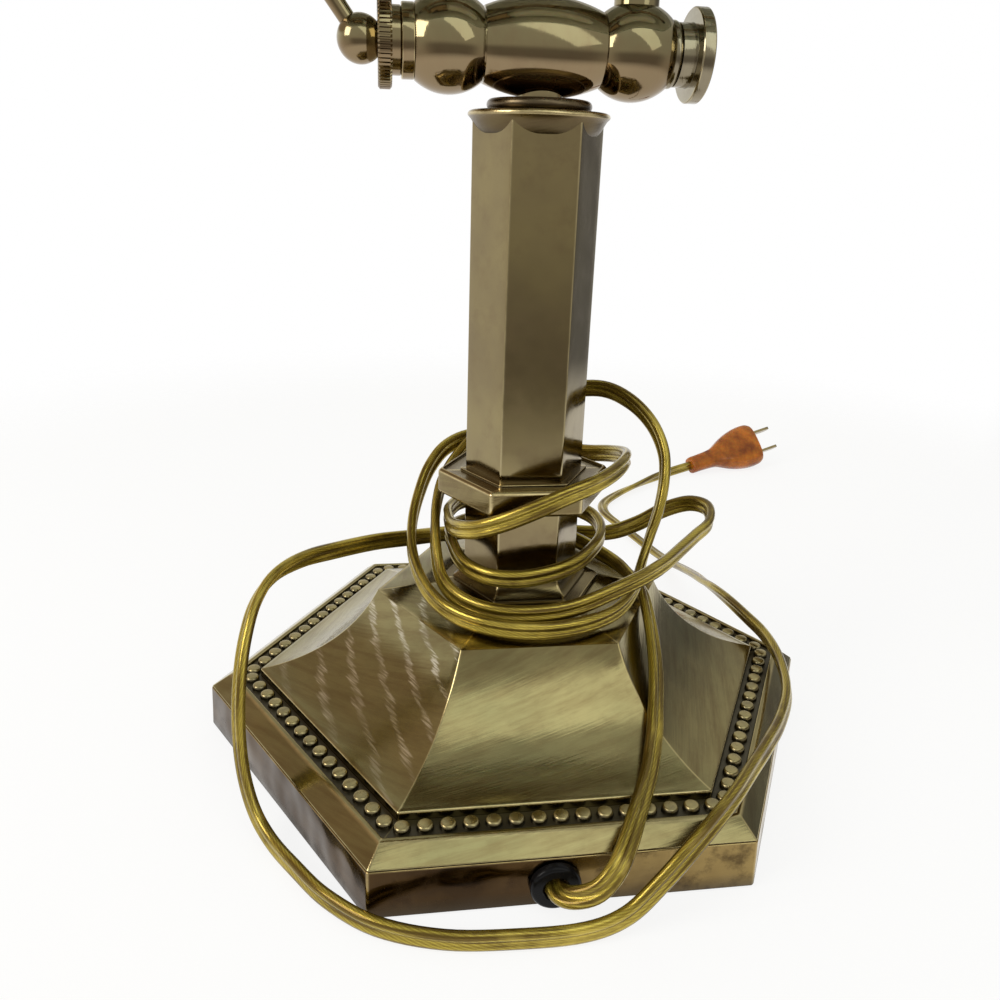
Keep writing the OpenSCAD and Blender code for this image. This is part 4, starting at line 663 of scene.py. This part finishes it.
ring_brass = brass("ring_brass", (0.2, 0.15, 0.08), (0.13, 0.1, 0.06), (0.06, 0.04, 0.03),
                   stain=0.4, rough=0.25, waves=0, grain=0.02)
finished(ring, "stand", ring_brass, "aged_brass", "check_ring")

# Pivot: a turned barrel on the column, a bolt through it whose head is a bead, a neck and a flat flange, a
# pressure ring on the far side, and thin brass washers between the barrel and the balls.
PIVOT = Vector((0, 0, 204.4))
BARREL_HALF = 15.6


def swelling(half, full, end):
    sag = full - end
    arc_r = (half * half + sag * sag) / (2 * sag)
    return [(full - arc_r + math.sqrt(arc_r ** 2 - x ** 2), x, 0, 0) for x in
            [half * math.sin(math.pi / 2 * k / 12) for k in range(-12, 13)]]


polished = brass("polished_brass", (0.34, 0.285, 0.155), (0.27, 0.235, 0.13), (0.24, 0.15, 0.085),
                 stain=0.25, rough=0.08, waves=0.06, grain=0.01, under=0.6)
barrel = turned("pivot_spool", PIVOT, (1, 0, 0), [(4, -BARREL_HALF, 0, 0)]
                + swelling(BARREL_HALF, 12.3, 9.2) + [(4, BARREL_HALF, 0, 0)])
finished(barrel, "stand", polished, "polished_brass", "pivot_barrel")
boss = turned("spool_boss", (0, 0, 191.9), (0, 0, 1), softened([
    (4, 0, 0), (6.2, 0, 0.3), (6.2, 3, 0), (5.8, 8, 0), (4, 8, 0)]))
finished(boss, "stand", polished, "polished_brass")
bolt = turned("bolt_head", PIVOT, (1, 0, 0), [(4, 33.62, 0, 0), (7, 33.62, 0, 0)]
              + arc((7, 35), 1.38, -90, 90, 10)
              + softened([(7.9, 36.4, 0), (7.9, 40.3, 0.2), (11.45, 40.3, 0.1), (11.8, 40.65, 0.1),
                          (11.8, 43.45, 0.1), (11.45, 43.8, 0.1), (0.5, 43.8, 0)]))
grey_brass = brass("bolt_brass", (0.42, 0.37, 0.245), (0.34, 0.31, 0.21), (0.2, 0.15, 0.1),
                   stain=0.25, rough=0.12, waves=0.04, grain=0.02)
finished(bolt, "stand", grey_brass, "polished_brass")
shank = turned("bolt_shank", PIVOT, (1, 0, 0), [(4, -42.5, 0, 0), (4, 35, 0, 0)], around=48)
finished(shank, "stand", grey_brass, "polished_brass", "pivot_bolt")
press = turned("press_ring", PIVOT, (1, 0, 0), softened([
    (4.1, -36.98, 0), (9, -36.98, 0.4), (9, -33.62, 0.4), (4.1, -33.62, 0)]))
finished(press, "stand", polished, "polished_brass", "pressure_ring")
painted(polished, "friction_washers")

# Clamp lever: a knurled brass nut on the bolt with a ball hub, a tapered arm and a round knob to turn it
# by. It is screwed up to press the balls of the fork against the barrel.
TEETH, TOOTH_DEPTH = 66, 0.5
NUT_PROFILE = [(4.1, -37.02), (7.9, -37.02), (8.2, -37.3), (8.2, -39.4), (10.9, -39.4), (11.5, -39.9),
               (11.5, -42.5), (10.9, -43), (4.1, -43)]
HUB = PIVOT + Vector((-47.3, 0, 0))
LEAN = Vector((-math.sin(math.radians(36)), 0, math.cos(math.radians(36))))


def ball(name, at, radius):
    profile = [(max(radius * math.cos(math.pi * k / 32), 0.02), radius * math.sin(math.pi * k / 32), 0, 0)
               for k in range(-16, 17)]
    return turned(name, at, (0, 0, 1), profile, around=64)


nut_rings = []
for radius, along in NUT_PROFILE:
    ring = []
    for i in range(TEETH):
        for share, cut in ((0.1, 0), (0.5, 0), (0.65, TOOTH_DEPTH), (0.95, TOOTH_DEPTH)):
            turn = 2 * math.pi * (i + share) / TEETH
            out = radius - cut if radius > 11 else radius
            ring.append(PIVOT + Vector((along, out * math.cos(turn), out * math.sin(turn))))
    nut_rings.append(ring)
nut = sheet_of_rings("knurled_wheel", nut_rings, crease=30)
finished(nut, "clamp_lever", polished, "polished_brass", "knurled_nut")
finished(ball("hub_ball", HUB, 6), "clamp_lever", polished, "polished_brass", "lever_hub")
arm = turned("lever_rod", HUB, LEAN, [
    (2.15, 3, 0, 0), (2.2, 8, 0, 0), (2.45, 25, 0, 0), (2.7, 41, 0, 0)], around=48)
finished(arm, "clamp_lever", polished, "polished_brass", "lever_arm")
finished(ball("knob_ball", HUB + LEAN * 45, 6.5), "clamp_lever", polished, "polished_brass", "lever_knob")

# Fork: two turned brass balls on the bolt, two tubes that rise from them, and a crossbar in turned tees with
# sleeves, fixed together into one frame.
BAR = Vector((0, 0, 302.4))
BALL_OUT, BALL_HALF, TEE_HALF, BAR_HALF = 24.8, 8.78, 11, 110.4
for side, name in ((-1, "left"), (1, "right")):
    out = Vector((BALL_OUT * side, 0, 0))
    knuckle = turned("knuckle_" + name, PIVOT + out, (1, 0, 0), [(4.1, -BALL_HALF, 0, 0)]
                     + swelling(BALL_HALF, 12.2, 9.1) + [(4.1, BALL_HALF, 0, 0)])
    finished(knuckle, "fork", polished, "polished_brass", "fork_ball_" + name)
    post_profile = [(5.95, 210 + 84.4 * k / 12, 0, 0) for k in range(13)]
    post = turned("riser_" + name, out, (0, 0, 1), post_profile, around=64)
    finished(post, "fork", polished, "polished_brass", "fork_post_" + name)
    tee = turned("tee_" + name, BAR + out, (1, 0, 0), [(6, -TEE_HALF, 0, 0)]
                 + swelling(TEE_HALF, 10, 8) + [(6, TEE_HALF, 0, 0)])
    finished(tee, "fork", polished, "polished_brass", "fork_tee_" + name)
    sleeve = turned("tee_sleeve_" + name, BAR + Vector((BALL_OUT * side, 0, -17)), (0, 0, 1), softened([
        (5.96, 0, 0), (8, 0, 0.6), (8, 2.2, 0.4), (7.2, 2.4, 0.4), (7.2, 12, 0), (6, 14, 0)]))
    finished(sleeve, "fork", polished, "polished_brass")
bar = turned("cross_tube", BAR, (1, 0, 0), [
    (4, -BAR_HALF, 0, 0), (6, -BAR_HALF, 0, 0), (6, BAR_HALF, 0, 0), (4, BAR_HALF, 0, 0)], around=64)
finished(bar, "fork", polished, "polished_brass", "crossbar")

# Lampholder: a pressed brass shell on a bracket under the crossbar, with a porcelain liner, a frosted
# tubular bulb and a black turning switch.
painted(polished, "holder_bracket", "holder_cap", "holder_shell")
china = mottled("porcelain", {"Roughness": 0.35}, (0.6, 0.56, 0.47), (0.74, 0.7, 0.6), 120, 5)
painted(china, "holder_liner")
frosted = mottled("bulb_glass", {"Roughness": 0.25, "Subsurface Weight": 0.2, "Subsurface Scale": 0.004},
                  (0.8, 0.77, 0.68), (0.9, 0.88, 0.8), 200, 5)
painted(frosted, "bulb_glass")
black = mottled("black_plastic", {"Roughness": 0.3}, (0.012, 0.01, 0.009), (0.03, 0.024, 0.02), 300, 4)
painted(black, "switch_key")

# Shade: blown glass, a deep green skin over a white lining, thick at the two pivot holes, hung on the
# crossbar between soft washers and two turned finials.
SHADE_HALF, SHADE_DEPTH, SHADE_RISE, SHADE_WALL = 118, 66, 82, 3.5
SHADE_BOTTOM, SHADE_RIM, SHADE_SIDES, SHADE_SQUARE = 274.4, 274.1, 160, 0.55


def shade_ring(angle, wall):
    draw = math.sqrt(max(math.cos(math.radians(angle)), 0.0004))
    ring = []
    for k in range(SHADE_SIDES):
        turn = 2 * math.pi * k / SHADE_SIDES
        ring.append(((SHADE_HALF - wall - 50 * (1 - draw)) * squared_off(math.cos(turn), SHADE_SQUARE),
                     (SHADE_DEPTH - wall) * draw * squared_off(math.sin(turn), SHADE_SQUARE),
                     SHADE_BOTTOM + (SHADE_RISE - wall) * math.sin(math.radians(angle))))
    return ring


shade_angles = [0, 3, 6, *range(10, 71, 4), 73, 76, 79, 82, 84, 86, 87]
shade_outside = [shade_ring(a, 0) for a in shade_angles]
shade_inside = [shade_ring(a, SHADE_WALL) for a in reversed(shade_angles)]
shade_rim = [(x * 0.985, y * 0.985, SHADE_RIM) for x, y, z in shade_outside[0]]
lined = [1.0] * (SHADE_SIDES * len(shade_inside)) + [0.0] * (SHADE_SIDES * (1 + len(shade_outside)))
shade = sheet_of_rings("shade_glass", shade_inside + [shade_rim] + shade_outside, crease=60,
                       rows={"deep": lined})
green, tree, shader = surface("green_glass", {
    "Roughness": 0.06, "Coat Weight": 0.6, "Coat Roughness": 0.03, "IOR": 1.52})
cloud = ramp(tree, noise(tree, add(tree, "TexCoord").outputs["Object"], 26, 5, 0.6), 0.35, 0.65)
skin = blend_colours(tree, cloud, (0.006, 0.092, 0.036, 1), (0.009, 0.118, 0.047, 1))
lining = add(tree, "Attribute", attribute_name="deep").outputs["Fac"]
tree.links.new(blend_colours(tree, lining, skin, (0.82, 0.84, 0.78, 1)), shader.inputs["Base Color"])
finished(shade, "shade", green, "green_glass", "glass_shade")
for side, name in ((-1, "left"), (1, "right")):
    pad = turned("shade_pad_" + name, BAR, (side, 0, 0), softened([
        (4.3, 111.5, 0), (9, 111.5, 0.4), (9, 117.47, 0.6), (4.3, 117.47, 0)]), around=48)
    finished(pad, "shade", green, "green_glass")
    knob = [(6 * math.cos(math.radians(t)), 126.27 + 6 * math.sin(math.radians(t)), 0, 0)
            for t in range(-50, 90, 7)]
    finial = turned("end_finial_" + name, BAR, (side, 0, 0), [
        (3.9, 98.5, 0, 0), (3.9, 118.4, 0, 0), (6.8, 118.47, 0, 0)]
        + arc((6.8, 119.67), 1.2, -90, 90, 8) + [(3.6, 121.2, 0, 0)] + knob, around=64)
    finished(finial, "shade", polished, "polished_brass", "finial_" + name)
fibre = mottled("fibre", {"Roughness": 0.8}, (0.03, 0.026, 0.02), (0.08, 0.065, 0.05), 500, 5)
painted(fibre, "shade_washers")

# Inside the base: a felt sheet glued under a steel plate, a cast iron weight on the plate, and the steel
# pipe whose nut and washer clamp the column to the base.
felt = mottled("felt", {"Roughness": 1.0, "Sheen Weight": 0.4}, (0.012, 0.03, 0.014), (0.04, 0.075, 0.035),
               700, 6, 0.7)
painted(felt, "felt_pad")
steel, tree, shader = surface("steel", {"Metallic": 1})
cloud = noise(tree, add(tree, "TexCoord").outputs["Object"], 180, 6, 0.6)
tree.links.new(blend_colours(tree, cloud, (0.35, 0.35, 0.35, 1), (0.55, 0.55, 0.54, 1)),
               shader.inputs["Base Color"])
tree.links.new(ramp(tree, cloud, 0.3, 0.7, 0.3, 0.5), shader.inputs["Roughness"])
painted(steel, "bottom_plate", "lamp_pipe", "pipe_washer", "pipe_lock_nut", "bulb_base")
iron = mottled("iron", {"Metallic": 0.7, "Roughness": 0.7}, (0.03, 0.03, 0.032), (0.11, 0.1, 0.1),
               260, 6, 0.7)
painted(iron, "base_weight")
